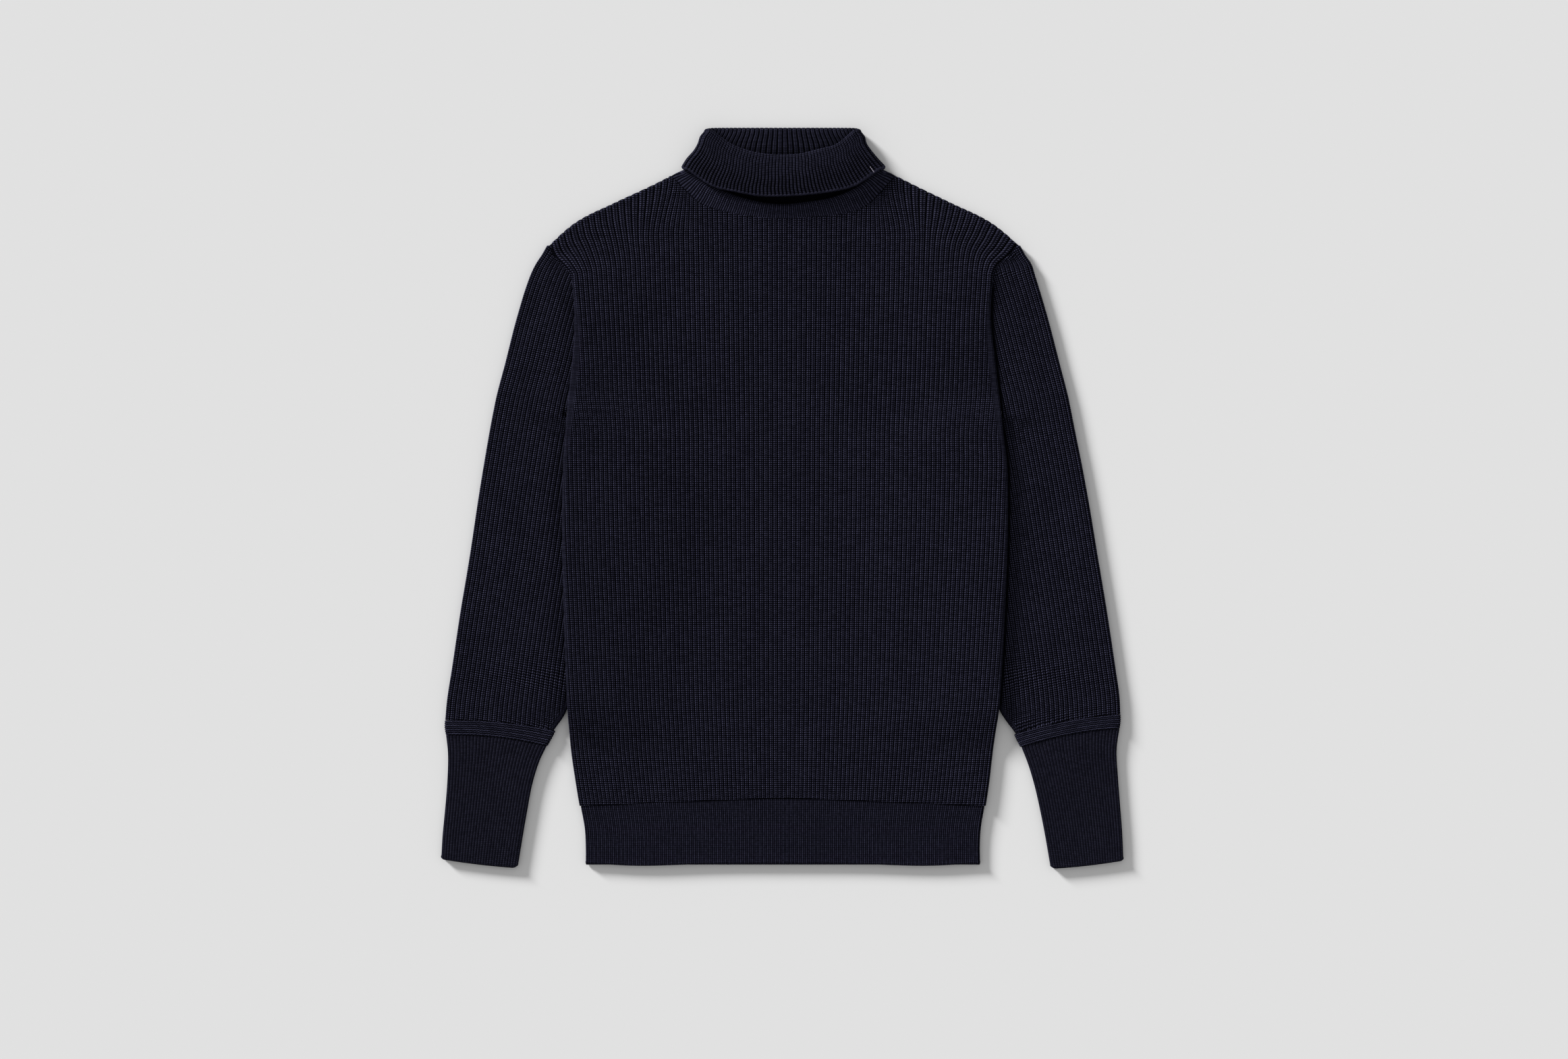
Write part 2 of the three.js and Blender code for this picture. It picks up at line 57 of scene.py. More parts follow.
# Half widths on the wearer's right and left, how far the edges of the back and the front are raised
# by the sleeve under them, how far the sleeve reaches in under the edge, ribs in half a width, and
# the rib's pitch at the centre line.
BODY = np.array([
    # y    right  left   back front under ribs  pitch
    [-324, 214.0, 214.8, 0.0, 0.0, 0.0, 50.0, 4.33],
    [-300, 217.9, 218.3, 0.0, 0.0, 0.0, 50.0, 4.41],
    [-264, 223.1, 222.5, 0.0, 0.0, 0.0, 50.0, 4.52],
    [-242, 224.8, 225.5, 4.0, 4.0, 0.0, 50.0, 4.57],
    [-223, 226.5, 228.5, 7.2, 7.2, 1.0, 50.0, 4.63],
    [-180, 228.5, 231.8, 7.2, 7.2, 12.0, 49.8, 4.70],
    [-120, 230.5, 235.0, 7.2, 7.2, 26.0, 49.5, 4.76],
    [-60, 232.0, 237.3, 7.2, 7.2, 41.0, 49.1, 4.83],
    [0, 232.0, 238.1, 7.2, 7.2, 54.0, 48.7, 4.88],
    [40, 231.0, 236.9, 7.2, 7.2, 52.0, 48.2, 4.90],
    [66, 229.1, 233.5, 7.2, 7.2, 30.0, 47.7, 4.91],
    [85, 227.8, 231.7, 7.2, 7.2, 0.0, 47.0, 4.94],
    [96, 227.0, 230.5, 3.6, 5.3, 1.4, 46.5, 4.96],
    [107, 226.1, 229.3, 0.0, 3.4, 3.0, 46.0, 4.98],
    [140, 222.2, 225.5, 0.0, 3.4, 3.0, 44.9, 5.03],
    [190, 219.5, 220.3, 0.0, 3.4, 3.0, 43.6, 5.10],
    [235, 222.1, 222.1, 0.0, 3.4, 0.0, 43.3, 5.15],
]).T

# The armhole from the yoke to the shoulder point, and the fold of the shoulder up to the neck.
ARMHOLE = np.array([
    # share right  left
    [0.00, 222.1, 222.1],
    [0.34, 231.5, 227.1],
    [0.66, 241.0, 239.0],
    [1.00, 245.5, 249.5],
]).T
SHOULDER = np.array([
    # y   right  left
    [339.9, 117.0, 119.6],
    [329.9, 137.0, 139.5],
    [311.9, 176.0, 177.0],
    [290.9, 217.6, 219.7],
    [267.9, 245.0, 249.0],
]).T

# Lines round the front of the neck, at t of the way from the middle to either end.
NECK = np.array([
    # t     seam   crest  edge   fold
    [-1.00, 339.0, 345.0, 344.5, 388.5],
    [-0.75, 311.0, 328.0, 327.4, 374.0],
    [-0.50, 301.0, 317.5, 321.2, 366.0],
    [-0.25, 296.0, 310.5, 316.8, 362.0],
    [0.00, 294.7, 308.0, 316.6, 361.0],
    [0.25, 296.0, 310.7, 318.2, 362.3],
    [0.50, 298.5, 315.0, 321.4, 367.0],
    [0.75, 308.5, 325.5, 327.8, 372.5],
    [1.00, 339.0, 345.0, 344.5, 388.0],
]).T
SEAM, CREST, EDGE, FOLD = 1, 2, 3, 4  # the columns of NECK
NECK_CENTRE, NECK_HALF = 1.2, 118.3
BACK_NECK, BACK_NECK_RISE = 335, 4
HEM_SEAM_RISE = 9
END_PITCH = 5.2  # the rib's pitch where it meets the shoulder or the neck
SHOULDER_POINT = 262  # y above which three layers meet, at the outer end of the shoulder
LEAN, LEAN_AT, LEAN_OVER = 14, 132, 26  # how far the ribs beside the neck lean in, and where
FRONT_SLOPE, BACK_SLOPE = 130, 24  # length of the slope down from the sleeve below
ARMPIT, PIT_OPENS = 85, 22  # above this y the back's edge opens out to the sleeve's join, over so much

# The plain edge beside the ribs, which the narrowings of the armhole leave: y and width.
EDGING = np.array([[-324, 0], [-236, 0], [-200, 1.6], [-60, 2.4], [40, 3.2], [96, 6.0], [160, 6.2],
                   [190, 4.0], [215, 1.2], [230, 0], [270, 0]]).T
# Soft troughs across the front where the cloth has settled: from and to, half width and depth.
SETTLED = np.array([
    # x0    y0    x1   y1   width depth
    [-205, 62, -120, -10, 16, 0.5],
    [212, 70, 110, -30, 18, 0.5],
    [-146, -140, -134, -376, 20, 0.7],
    [138, -150, 148, -330, 20, 0.7],
    [-60, 262, -150, 160, 20, 0.7],
    [70, 268, 165, 190, 18, 0.7],
    [-150, -120, 40, -150, 22, 0.6],
    [10, -230, 170, -200, 20, 0.6],
])

# The rib's section: height of the cloth's face over its level, from one valley to the next.
RIB_PHASE = np.array([0.0, 0.07, 0.15, 0.3, 0.5, 0.7, 0.85, 0.93, 1.0])
RIB_FACE = np.array([-1.6, -0.9, -0.1, 0.2, 0.1, 0.2, -0.1, -0.9, -1.6])


def ease(x):
    """0 below 0, 1 above 1 and a smooth step between: 3x2 - 2x3."""
    x = np.clip(x, 0, 1)
    return x * x * (3 - 2 * x)


def mix(a, b, share):
    """The point at that share of the way from a to b."""
    return a + (b - a) * share


def through(keys, values, at):
    """A smooth curve through a table's rows, or through whole rings: a cubic between neighbours, whose
    slope at each is the mean of the two chords that meet there."""

    def spread(x):
        return x.reshape(x.shape + (1,) * (values.ndim - 1))

    chord = np.diff(values, axis=0) / spread(np.diff(keys))
    slope = np.concatenate([chord[:1], (chord[1:] + chord[:-1]) / 2, chord[-1:]])
    at = np.clip(at, keys[0], keys[-1])
    k = np.clip(np.searchsorted(keys, at, side="right") - 1, 0, len(chord) - 1)
    span = spread(keys[k + 1] - keys[k])
    t = spread(at - keys[k]) / span
    ends = mix(values[k], values[k + 1], t * t * (3 - 2 * t))
    return ends + span * t * (1 - t) * ((1 - t) * slope[k] - t * slope[k + 1])


def sided(table, q, at):
    """A table's second column on the wearer's right, where q < 0, and its third on the left."""
    return np.where(q < 0, through(table[0], table[1], at), through(table[0], table[2], at))


def rolled(along, radius):
    """Cloth that curls over a quarter turn and then runs flat: for the length of cloth from its rim,
    how far in it has come, radius (1 - cos a) on the curl, and its height as a share, sin a."""
    quarter = radius * math.pi / 2
    angle = np.clip(along, 0, quarter) / radius
    return radius * (1 - np.cos(angle)) + np.maximum(along - quarter, 0), np.sin(angle)


def sagged(x, y, troughs):
    """Depth of the soft troughs at x, y: each is a bell across its line that fades at both ends."""
    depth = np.zeros(np.broadcast(x, y).shape)
    for x0, y0, x1, y1, width, deep in troughs:
        length = math.hypot(x1 - x0, y1 - y0)
        ux, uy = (x1 - x0) / length, (y1 - y0) / length
        on = ((x - x0) * ux + (y - y0) * uy) / length
        off = (x - x0) * uy - (y - y0) * ux
        ends = ease(on * 3 + 0.5) * ease((1 - on) * 3 + 0.5)
        depth = depth + deep * ends * np.exp(-((off / width) ** 2))
    return depth


def rim(distance, radius=1.2, least=0.35):
    """How much of the wall's thickness is left near its rim, a quarter circle in section."""
    near = np.clip(1 - distance / radius, 0, 1)
    return np.maximum(np.sqrt(1 - near**2), least)


def seam(distance):
    """The same where a wall meets another at a seam, which hardly thins it."""
    return rim(distance, 0.4, 0.92)


def wall(name, middle, half, face, wale, course, lining=(4, 8), closed=False, out=1, marks=None):
    """One closed wall of cloth. Its outer surface is the grid of middle points moved along the grid's
    normal by half the thickness plus the rib's face, and its lining the same grid thinned out and
    moved the other way. closed joins the last column to the first, and out is -1 where the grid's
    normal points in. The map called knit counts ribs and courses, OFBake unrolls the grid for baking,
    and marks are numbers kept at each point."""
    rows, columns = middle.shape[:2]
    wrapped = np.concatenate([middle[:, -1:], middle, middle[:, :1]], axis=1)
    across = wrapped[:, 2:] - wrapped[:, :-2] if closed else np.gradient(middle, axis=1)
    normal = out * np.cross(across, np.gradient(middle, axis=0))
    normal /= np.maximum(np.linalg.norm(normal, axis=2, keepdims=True), 1e-12)
    half = np.broadcast_to(half, (rows, columns))
    outer = middle + normal * (half + face)[..., None]
    thin = (slice(None, None, lining[0]), slice(None, None, lining[1]))
    inner = (middle - normal * half[..., None])[thin]
    points = np.concatenate([outer.reshape(-1, 3), inner.reshape(-1, 3)]) * MM

    def grid_of(first, shape):
        grid = first + np.arange(shape[0] * shape[1]).reshape(shape)
        return np.concatenate([grid, grid[:, :1]], axis=1) if closed else grid

    top, low = grid_of(0, (rows, columns)), grid_of(rows * columns, inner.shape[:2])
    # The same corners numbered for the maps, where a closed wall has one more column.
    wide = columns + 1 if closed else columns
    top_map = np.arange(rows * wide).reshape(rows, wide)
    low_map = rows * wide + np.arange(low.size).reshape(low.shape)

    def quads(g):
        return np.stack([g[:-1, :-1], g[:-1, 1:], g[1:, 1:], g[1:, :-1]], axis=-1).reshape(-1, 4)

    def edging(fine, coarse, step):
        """Rim faces between one edge of the outer grid and the same edge of the lining."""
        cells = np.arange(len(coarse) - 1)[:, None]
        run = fine[cells * step + np.arange(step + 1)]
        return np.concatenate([run, coarse[cells + 1], coarse[cells]], axis=1)

    def faces(g, h):
        made = [quads(g), quads(h)[:, ::-1]]
        made += [edging(g[0], h[0], lining[1])[:, ::-1], edging(g[-1], h[-1], lining[1])]
        if not closed:
            made += [edging(g[:, 0], h[:, 0], lining[0]), edging(g[:, -1], h[:, -1], lining[0])[:, ::-1]]
        return [f[:, ::out] for f in made]

    solid, mapped = faces(top, low), faces(top_map, low_map)
    counts = np.concatenate([np.full(len(f), f.shape[1]) for f in solid])
    mesh = bpy.data.meshes.new(name)
    mesh.vertices.add(len(points))
    mesh.vertices.foreach_set("co", points.astype(np.float32).ravel())
    mesh.loops.add(int(counts.sum()))
    mesh.loops.foreach_set("vertex_index", np.concatenate([f.ravel() for f in solid]).astype(np.int32))
    mesh.polygons.add(len(counts))
    mesh.polygons.foreach_set("loop_start", (np.cumsum(counts) - counts).astype(np.int32))
    corners = np.concatenate([f.ravel() for f in mapped])
    knit = np.stack(np.broadcast_arrays(wale, course), axis=-1)
    knit = np.broadcast_to(knit, (rows, wide, 2))
    knit = np.concatenate([knit.reshape(-1, 2), knit[thin].reshape(-1, 2)])

    def unrolled(shape, bottom, top):
        """Map places of a grid laid out in the full width of the map, between two heights."""
        up_it, along_it = np.linspace(bottom, top, shape[0]), np.linspace(0.004, 0.996, shape[1])
        v, u = np.meshgrid(up_it, along_it, indexing="ij")
        return np.stack([u, v], -1).reshape(-1, 2)

    baked = np.concatenate([unrolled((rows, wide), 0.004, 0.9), unrolled(low.shape, 0.92, 0.996)])
    for layer, places in (("knit", knit), ("OFBake", baked)):
        mesh.uv_layers.new(name=layer).data.foreach_set("uv", places[corners].astype(np.float32).ravel())
    for mark, values in (marks or {}).items():
        values = np.broadcast_to(values, (rows, columns))
        values = np.concatenate([values.ravel(), values[thin].ravel()]).astype(np.float32)
        mesh.attributes.new(mark, "FLOAT", "POINT").data.foreach_set("value", values)
    mesh.update(calc_edges=True)
    mesh.polygons.foreach_set("use_smooth", np.ones(len(counts), bool))
    piece = bpy.data.objects.new(name, mesh)
    bpy.context.scene.collection.objects.link(piece)
    return piece


def rib_face(wale):
    """Height of the rib's face where the count of ribs is wale: whole numbers are the valleys."""
    return np.interp(wale % 1.0, RIB_PHASE, RIB_FACE)


def neck_line(column, t):
    """One of the neck's lines, by its column in the table, at t."""
    return through(NECK[0], NECK[column], t)


def back_neck(t):
    """y of the back's neck line: a shallow parabola."""
    return BACK_NECK + BACK_NECK_RISE * t * t


def hem_seam(t):
    """y of the hem rib's seam: two nearly straight halves that meet in a rounded peak."""
    return BODY[0, 0] + HEM_SEAM_RISE * (1 - np.hypot(t, 0.1))


def body_panel(name, up):
    """The front (up = 1) or the back (up = -1). Columns run from the right edge to the left, eight to a
    rib, and rows from the hem seam up. Across, the ribs keep their pitch except near the edges; at
    each edge the cloth rises on the sleeve below it and curls over. Above the yoke the rows share out
    what is left up to the shoulder fold or the neck seam."""
    q = np.linspace(-1, 1, 801)[None, :]
    bottom = BODY[0, 0]
    low = np.concatenate([[0, 0.5, 1.3, 3.5], np.linspace(8, YOKE - bottom, 72)])[:, None]
    y = bottom + low + (hem_seam(q) - bottom + SEAM_GAP) * (1 - ease(low / 60))
    lift_column = 4 if up > 0 else 3
    lift, under, ribs, pitch = (through(BODY[0], BODY[k], y) for k in (lift_column, 5, 6, 7))
    edge = sided(BODY, q, y)

    def across(edge, ribs, pitch):
        """x on the flat cloth, and the length of cloth from there to the rim."""
        reach = edge - RIB / 2 - LAYER + LAYER * math.pi / 2
        flat = pitch * ribs * np.abs(q) + (reach - pitch * ribs) * np.abs(q) ** 3
        return flat, reach - flat

    lower_flat, lower_rim = across(edge, ribs, pitch)
    # Above the yoke.
    end_edge = np.where(q < 0, ARMHOLE[1, -1], ARMHOLE[2, -1])
    end_flat, _ = across(end_edge, BODY[6, -1], END_PITCH)
    lean = LEAN * np.exp(-(((end_flat - LEAN_AT) / LEAN_OVER) ** 2))
    end_flat = end_flat - lean
    t = (np.sign(q) * end_flat - NECK_CENTRE) / NECK_HALF
    on_neck = 1 - ease((np.abs(t) - 0.985) / 0.03)
    right, left = (through(SHOULDER[k], SHOULDER[0], end_flat) for k in (1, 2))
    shoulder = np.where(q < 0, right, left)
    neck = neck_line(SEAM, np.clip(t, -1, 1)) if up > 0 else back_neck(t)
    top = np.where(np.abs(t) < 1, neck, shoulder)
    # Rows lie closer where the cloth folds over at the top.
    near = np.array([4.5, 3.4, 2.8, 2.2, 1.6, 1.0, 0.5, 0])[:, None]
    far = np.linspace(1, 0, 19)[1:-1, None]
    column = top - YOKE
    left_over = np.concatenate([6 + (column - 6) * far, np.broadcast_to(near, (8, q.size))])
    fold_in, fold_up = rolled(left_over, LAYER)
    folded_y = top - mix((RIB / 2 + fold_in) * 1.2, left_over, ease(left_over / column))
    flat_y = top - left_over
    share = np.clip(1 - left_over / column, 0, 1)
    upper_y = mix(folded_y, flat_y, on_neck)
    # The edge itself turns at the yoke, and the ribs further in bend more gently.
    bent = share ** (1 + 0.8 * (1 - np.abs(q) ** 8))
    upper_edge = sided(ARMHOLE, q, bent)
    upper_flat, upper_rim = across(upper_edge, BODY[6, -1], mix(BODY[7, -1], END_PITCH, share))
    lean_in = lean * ease((share - 0.42) / 0.62)

    def joined(lower, upper):
        """The rows below the yoke and above it. Either may be one number for them all."""
        parts = ((lower, lower_flat), (upper, upper_flat))
        return np.concatenate([np.broadcast_to(values, like.shape) for values, like in parts])

    to_rim, edge, y = joined(lower_rim, upper_rim), joined(edge, upper_edge), joined(y, upper_y)
    under, ribs = joined(under, BODY[5, -1]), joined(ribs, BODY[6, -1])
    fade = joined(1.0, np.clip(1 - share * 1.6, 0, 1))
    lift = np.maximum(joined(lift, BODY[lift_column, -1]), 0) * fade
    inset, curl = rolled(to_rim, LAYER)
    open_edge = ease((y - ARMPIT) / PIT_OPENS) if up < 0 else np.zeros_like(y)
    inset = mix(RIB / 2 + inset, to_rim + under + AIR / 2, open_edge)
    # At the shoulder point the edge stays a little open, where three layers meet.
    point = 0.4 * (y > SHOULDER_POINT) * (np.abs(q) > 0.97)
    curl = np.maximum(mix(curl, 1, open_edge) * joined(1.0, mix(fold_up, 1, on_neck)), point)
    x = edge - inset - joined(0.0, lean_in)
    ledge = np.maximum(under, PLANE) + 1.4 * RIB
    # The front runs down from the sleeves in a long even slope, the back in a short one.
    down = (edge - x - ledge) / (FRONT_SLOPE if up > 0 else BACK_SLOPE)
    raised = 1 - mix(np.clip(down, 0, 1), ease(down), 0.5 if up > 0 else 1.0)
    z = PLANE + lift * raised + up * LAYER * curl
    wale = np.sign(q) * ribs * np.abs(q)
    if up > 0:
        z = z - sagged(np.sign(q) * x, y, SETTLED) * ease(to_rim / 40)
    from_hem = y - hem_seam(q)
    thick = rim(to_rim) * seam(from_hem) * joined(1.0, mix(rim(left_over), seam(left_over), on_neck))
    thick = thick * (1 - 0.16 * np.exp(-from_hem / 4))
    plain_width = through(EDGING[0], EDGING[1], y)
    selvedge = (1 - ease((to_rim - plain_width + 0.6) / 3.2)) * ease(plain_width)
    face = rib_face(wale) * (1 - selvedge) - 0.5 * selvedge
    if up < 0:
        face = np.minimum(face, 0)
    # On the shoulders the cloth turns away, so its ribs look flatter and its courses closer.
    turned = joined(0.0, (1 - on_neck) * np.exp(-left_over / 5))
    middle = np.stack([np.sign(q) * x, y, z], axis=-1)
    return wall(name, middle, RIB / 2 * thick, face * thick * (1 - 0.45 * turned), wale,
                (y + 3.5 * turned) / COURSE, out=up, marks={"selvedge": selvedge})


def add(tree, kind, *inputs, **settings):
    """Adds a shader node of that kind. inputs fill its sockets in order, each with a value or with the
    first output of another node, and settings are its own properties."""
    node = tree.nodes.new("ShaderNode" + kind)
    for setting, value in settings.items():
        setattr(node, setting, value)
    for socket, value in zip(node.inputs, inputs):
        if isinstance(value, bpy.types.Node):
            tree.links.new(value.outputs[0], socket)
        elif isinstance(value, bpy.types.NodeSocket):
            tree.links.new(value, socket)
        elif value is not None:
            socket.default_value = value
    return node


def linear(colour):
    """An sRGB hex colour as linear red, green, blue and alpha."""
    parts = [int(colour[i:i + 2], 16) / 255 for i in (1, 3, 5)]
    return [p / 12.92 if p <= 0.04045 else ((p + 0.055) / 1.055) ** 2.4 for p in parts] + [1]


def wave(tree, count, each=1, operation="COSINE"):
    """The cosine or the sine of a count, with so many whole waves to each number counted."""
    angle = add(tree, "Math", count, 2 * math.pi * each, operation="MULTIPLY")
    return add(tree, "Math", angle, operation=operation)


def wool(name, stitches, dark, light, depth):
    """Worsted wool spun in oil and dyed navy: matt, with a faint lilac nap where light grazes the yarn. Its
    colour is painted light and shade: painted shade, nearly black, between the stitches and a painted
    highlight on the yarn that stands high. stitches adds a knit's own nodes to the tree and gives the last
    one: how high the yarn stands, which makes the bump and how pale the painted highlight is."""
    material = bpy.data.materials.new(name)
    material.use_nodes = True
    tree = material.node_tree
    tree.nodes.clear()
    place = add(tree, "UVMap", uv_map="knit")
    # No two stitches are the same size, take the dye or catch the light alike. The count wanders by up
    # to 0.08 ribs and 0.25 courses about every 6 mm, and the shade goes up and down in patches 70 mm
    # across and from stitch to stitch.
    where = add(tree, "TexCoord")
    wander = add(tree, "TexNoise", where.outputs["Object"], None, 180.0, 2.0, 0.5)
    off = add(tree, "VectorMath", wander.outputs["Color"], (0.5, 0.5, 0.5), operation="SUBTRACT")
    moved = add(tree, "VectorMath", off, (0.16, 0.5, 0.0), place, operation="MULTIPLY_ADD")
    count = add(tree, "SeparateXYZ", moved)
    knit = stitches(tree, count.outputs[0], count.outputs[1])
    patches = add(tree, "TexNoise", where.outputs["Object"], None, 14.0, 3.0, 0.6)
    stitch = add(tree, "VectorMath", place, operation="FLOOR")
    each = add(tree, "TexWhiteNoise", stitch, noise_dimensions="2D")
    uneven = add(tree, "MapRange", patches.outputs["Fac"], 0.3, 0.7, 0.93, 1.05)
    single = add(tree, "MapRange", each.outputs["Value"], 0.0, 1.0, 0.7, 1.26)
    varied = add(tree, "Math", knit, uneven, operation="MULTIPLY")
    varied = add(tree, "Math", varied, single, operation="MULTIPLY")
    # Painted shade: the mark called deep darkens the colour where shade falls in a fold, and a mark below 0
    # paints it paler, as painted light.
    deep = add(tree, "Attribute", attribute_name="deep")
    painted_shade_factor = add(tree, "Math", 1.0, deep.outputs["Fac"], operation="SUBTRACT")
    varied = add(tree, "Math", varied, painted_shade_factor, operation="MULTIPLY", use_clamp=True)
    # Painted shade and highlight: the colour runs from the navy in painted shade to the navy in painted light
    # as the yarn stands higher.
    colour = add(tree, "Mix", varied, data_type="RGBA")
    colour.inputs["A"].default_value = linear(dark)
    colour.inputs["B"].default_value = linear(light)
    bump = add(tree, "Bump")
    bump.inputs["Strength"].default_value = 1.0
    bump.inputs["Distance"].default_value = depth * MM
    tree.links.new(knit.outputs[0], bump.inputs["Height"])
    cloth = add(tree, "BsdfPrincipled")
    tree.links.new(colour.outputs["Result"], cloth.inputs["Base Color"])
    tree.links.new(bump.outputs["Normal"], cloth.inputs["Normal"])
    cloth.inputs["Roughness"].default_value = 0.82
    cloth.inputs["Specular IOR Level"].default_value = 0.02
    cloth.inputs["Sheen Weight"].default_value = 0.006
    cloth.inputs["Sheen Roughness"].default_value = 0.4
    cloth.inputs["Sheen Tint"].default_value = linear("#8a8ab8")
    tree.links.new(cloth.outputs[0], add(tree, "OutputMaterial").inputs["Surface"])
    return material


def cardigan_stitches(tree, wale, course):
    """Half cardigan rib, 5 mm a rib and 2.2 mm a course. Each stitch is an arch over the rib on two
    plump legs: across the rib it is 1 - cos 4 pi w and along it cos 2 pi (c + 0.14 cos 2 pi w), with c
    the count of courses and w that of ribs. The plain edge has the small V stitches of stocking stitch
    instead, 1.7 mm wide and tall: cos 2 pi (1.35 c + 1.1 v), with v the distance in from their sides."""
    from_valley = add(tree, "Math", wale, 0.5, operation="PINGPONG")
    ridge = add(tree, "MapRange", from_valley, 0.01, 0.14, 0.05, 1.0, interpolation_type="SMOOTHSTEP")
    legs = wave(tree, wale, 2)
    lobes = add(tree, "MapRange", legs, 0.7, -0.6, 0.13, 1.0, interpolation_type="SMOOTHSTEP")
    bow = wave(tree, wale)
    arch = add(tree, "Math", bow, 0.14, course, operation="MULTIPLY_ADD")
    beat = wave(tree, arch)
    row = add(tree, "MapRange", beat, -0.45, 0.9, 0.03, 0.78, interpolation_type="SMOOTHSTEP")
    rib = add(tree, "Math", add(tree, "Math", ridge, lobes, operation="MULTIPLY"), row, operation="MULTIPLY")
    column = add(tree, "Math", add(tree, "Math", wale, 3.0, operation="MULTIPLY"), 0.5, operation="PINGPONG")
    slant = add(tree, "Math", course, 1.35, add(tree, "Math", column, 1.1, operation="MULTIPLY"),
                operation="MULTIPLY_ADD")
    vees = wave(tree, slant)
    plain = add(tree, "MapRange", vees, -0.5, 0.9, 0.02, 0.42)
    gutter = add(tree, "MapRange", column, 0.0, 0.2, 0.1, 1.0)
    plain = add(tree, "Math", plain, gutter, operation="MULTIPLY")
    edge = add(tree, "Attribute", attribute_name="selvedge")
    knit = add(tree, "Mix", edge.outputs["Fac"], data_type="FLOAT")
    tree.links.new(rib.outputs[0], knit.inputs["A"])
    tree.links.new(plain.outputs[0], knit.inputs["B"])
    return knit


# The navy in painted shade between the stitches, and in painted light on their tops.
NAVY_PAINTED_SHADE, NAVY_PAINTED_LIT = "#020206", "#434359"
half_cardigan = wool("worsted_wool_half_cardigan_rib", cardigan_stitches, NAVY_PAINTED_SHADE, NAVY_PAINTED_LIT, 0.4)

for name, up in (("front", 1), ("back", -1)):
    panel = body_panel("knit_" + name, up)
    panel.data.materials.append(half_cardigan)
    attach(panel, "root")
    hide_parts(name)

# ---------------------------------------------------------------------------------------------------
# Hem ribs
# A tight one-by-one rib of the same yarn on finer needles, knitted on at the lower edge of each
# panel. It draws the hem in, and its last course is cast off in a small rolled line.

FINE, FINE_COURSE = 2.6, 1.9  # thickness of one layer of the tight rib, and height of one course
FINE_LAYER, FINE_PLANE = (FINE + AIR) / 2, FINE + AIR / 2
HEM_BOTTOM = -384.6
HEM_DIP, BACK_SHOWS = 2.4, 1.4  # how far the front's edge waves down, and the back's shows below it
HEM_RIBS = 102  # in half a width
HEM = np.array([
    # share right left
    [0.00, 212.8, 213.5],
    [0.40, 208.5, 209.5],
    [0.75, 207.5, 208.5],
    [1.00, 207.5, 208.8],
]).T


def fine_face(wale):
    """The face of a one-by-one rib, (cos 2 pi w - 1) / 2 over a small depth: valleys at whole numbers
    and a half."""
    return -0.19 * (1 + np.cos(2 * math.pi * wale))


def hem_rib(name, up):
    """One layer of the hem rib, from its seam down to the cast-off line, curled over at both sides.
    There are four columns to a rib."""
    q = np.linspace(-1, 1, 817)[None, :]
    down = np.concatenate([[0, 0.008, 0.02], np.linspace(0.05, 0.95, 18), [0.972, 0.988, 0.996, 1]])
    share = down[::-1, None]
    edge = sided(HEM, q, share)
    reach = edge - FINE / 2 - FINE_LAYER + FINE_LAYER * math.pi / 2
    to_rim = reach * (1 - np.abs(q))
    inset, curl = rolled(to_rim, FINE_LAYER)
    x = np.sign(q) * (edge - FINE / 2 - inset)
    dip = HEM_DIP * np.sin(math.pi * q * q) ** 2 if up > 0 else BACK_SHOWS
    y = mix(hem_seam(q) - SEAM_GAP, HEM_BOTTOM - dip, share)
    from_seam, from_edge = hem_seam(q) - y, y - HEM_BOTTOM + dip
    z = np.broadcast_to(FINE_PLANE + up * FINE_LAYER * curl, x.shape)
    wale = HEM_RIBS * q
    bead = 0.45 * np.exp(-((from_edge - 1.2) / 0.9) ** 2)
    thick = rim(to_rim) * seam(from_seam) * rim(from_edge, 1.5, 0.2)
    face = fine_face(wale) * ease(from_edge / 3) + bead
    if up < 0:
        face = np.minimum(face, 0)
    middle = np.stack([x, y, z], axis=-1)
    return wall(name, middle, FINE / 2 * thick, face * thick, wale, y / FINE_COURSE, out=up)


def rib_stitches(tree, wale, course):
    """One-by-one rib, about 2 mm a rib and 1.9 mm a course, each second rib standing nearer and given more
    painted highlight. Across it is 1 - cos 2 pi w, and along it 1 + cos 2 pi c."""
    ridge = wave(tree, wale)
    ridge = add(tree, "MapRange", ridge, 0.95, -0.6, 0.06, 1.0, interpolation_type="SMOOTHSTEP")
    pair = wave(tree, wale, 0.5, "SINE")
    pair = add(tree, "MapRange", pair, -1.0, 1.0, 0.3, 0.51)
    beat = wave(tree, course)
    beat = add(tree, "MapRange", beat, -0.8, 0.9, 0.27, 0.98)
    knit = add(tree, "Math", add(tree, "Math", ridge, pair, operation="MULTIPLY"), beat, operation="MULTIPLY")
    return knit


tight_rib = wool("worsted_wool_one_by_one_rib", rib_stitches, NAVY_PAINTED_SHADE, NAVY_PAINTED_LIT, 0.4)

for name, up in (("hem_rib_front", 1), ("hem_rib_back", -1)):
    hem = hem_rib("knit_" + name, up)
    hem.data.materials.append(tight_rib)
    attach(hem, "root")
    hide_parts(name)

# ---------------------------------------------------------------------------------------------------
# Sleeves
# Each is one sheet of the half cardigan rib, folded over along its outer side and joined to itself
# along the inner one, which lies under the body. Its ribs run with the outer fold, and the ones near
# the inner join are cast off one by one, which leaves a plain slanting edge above the wrist.

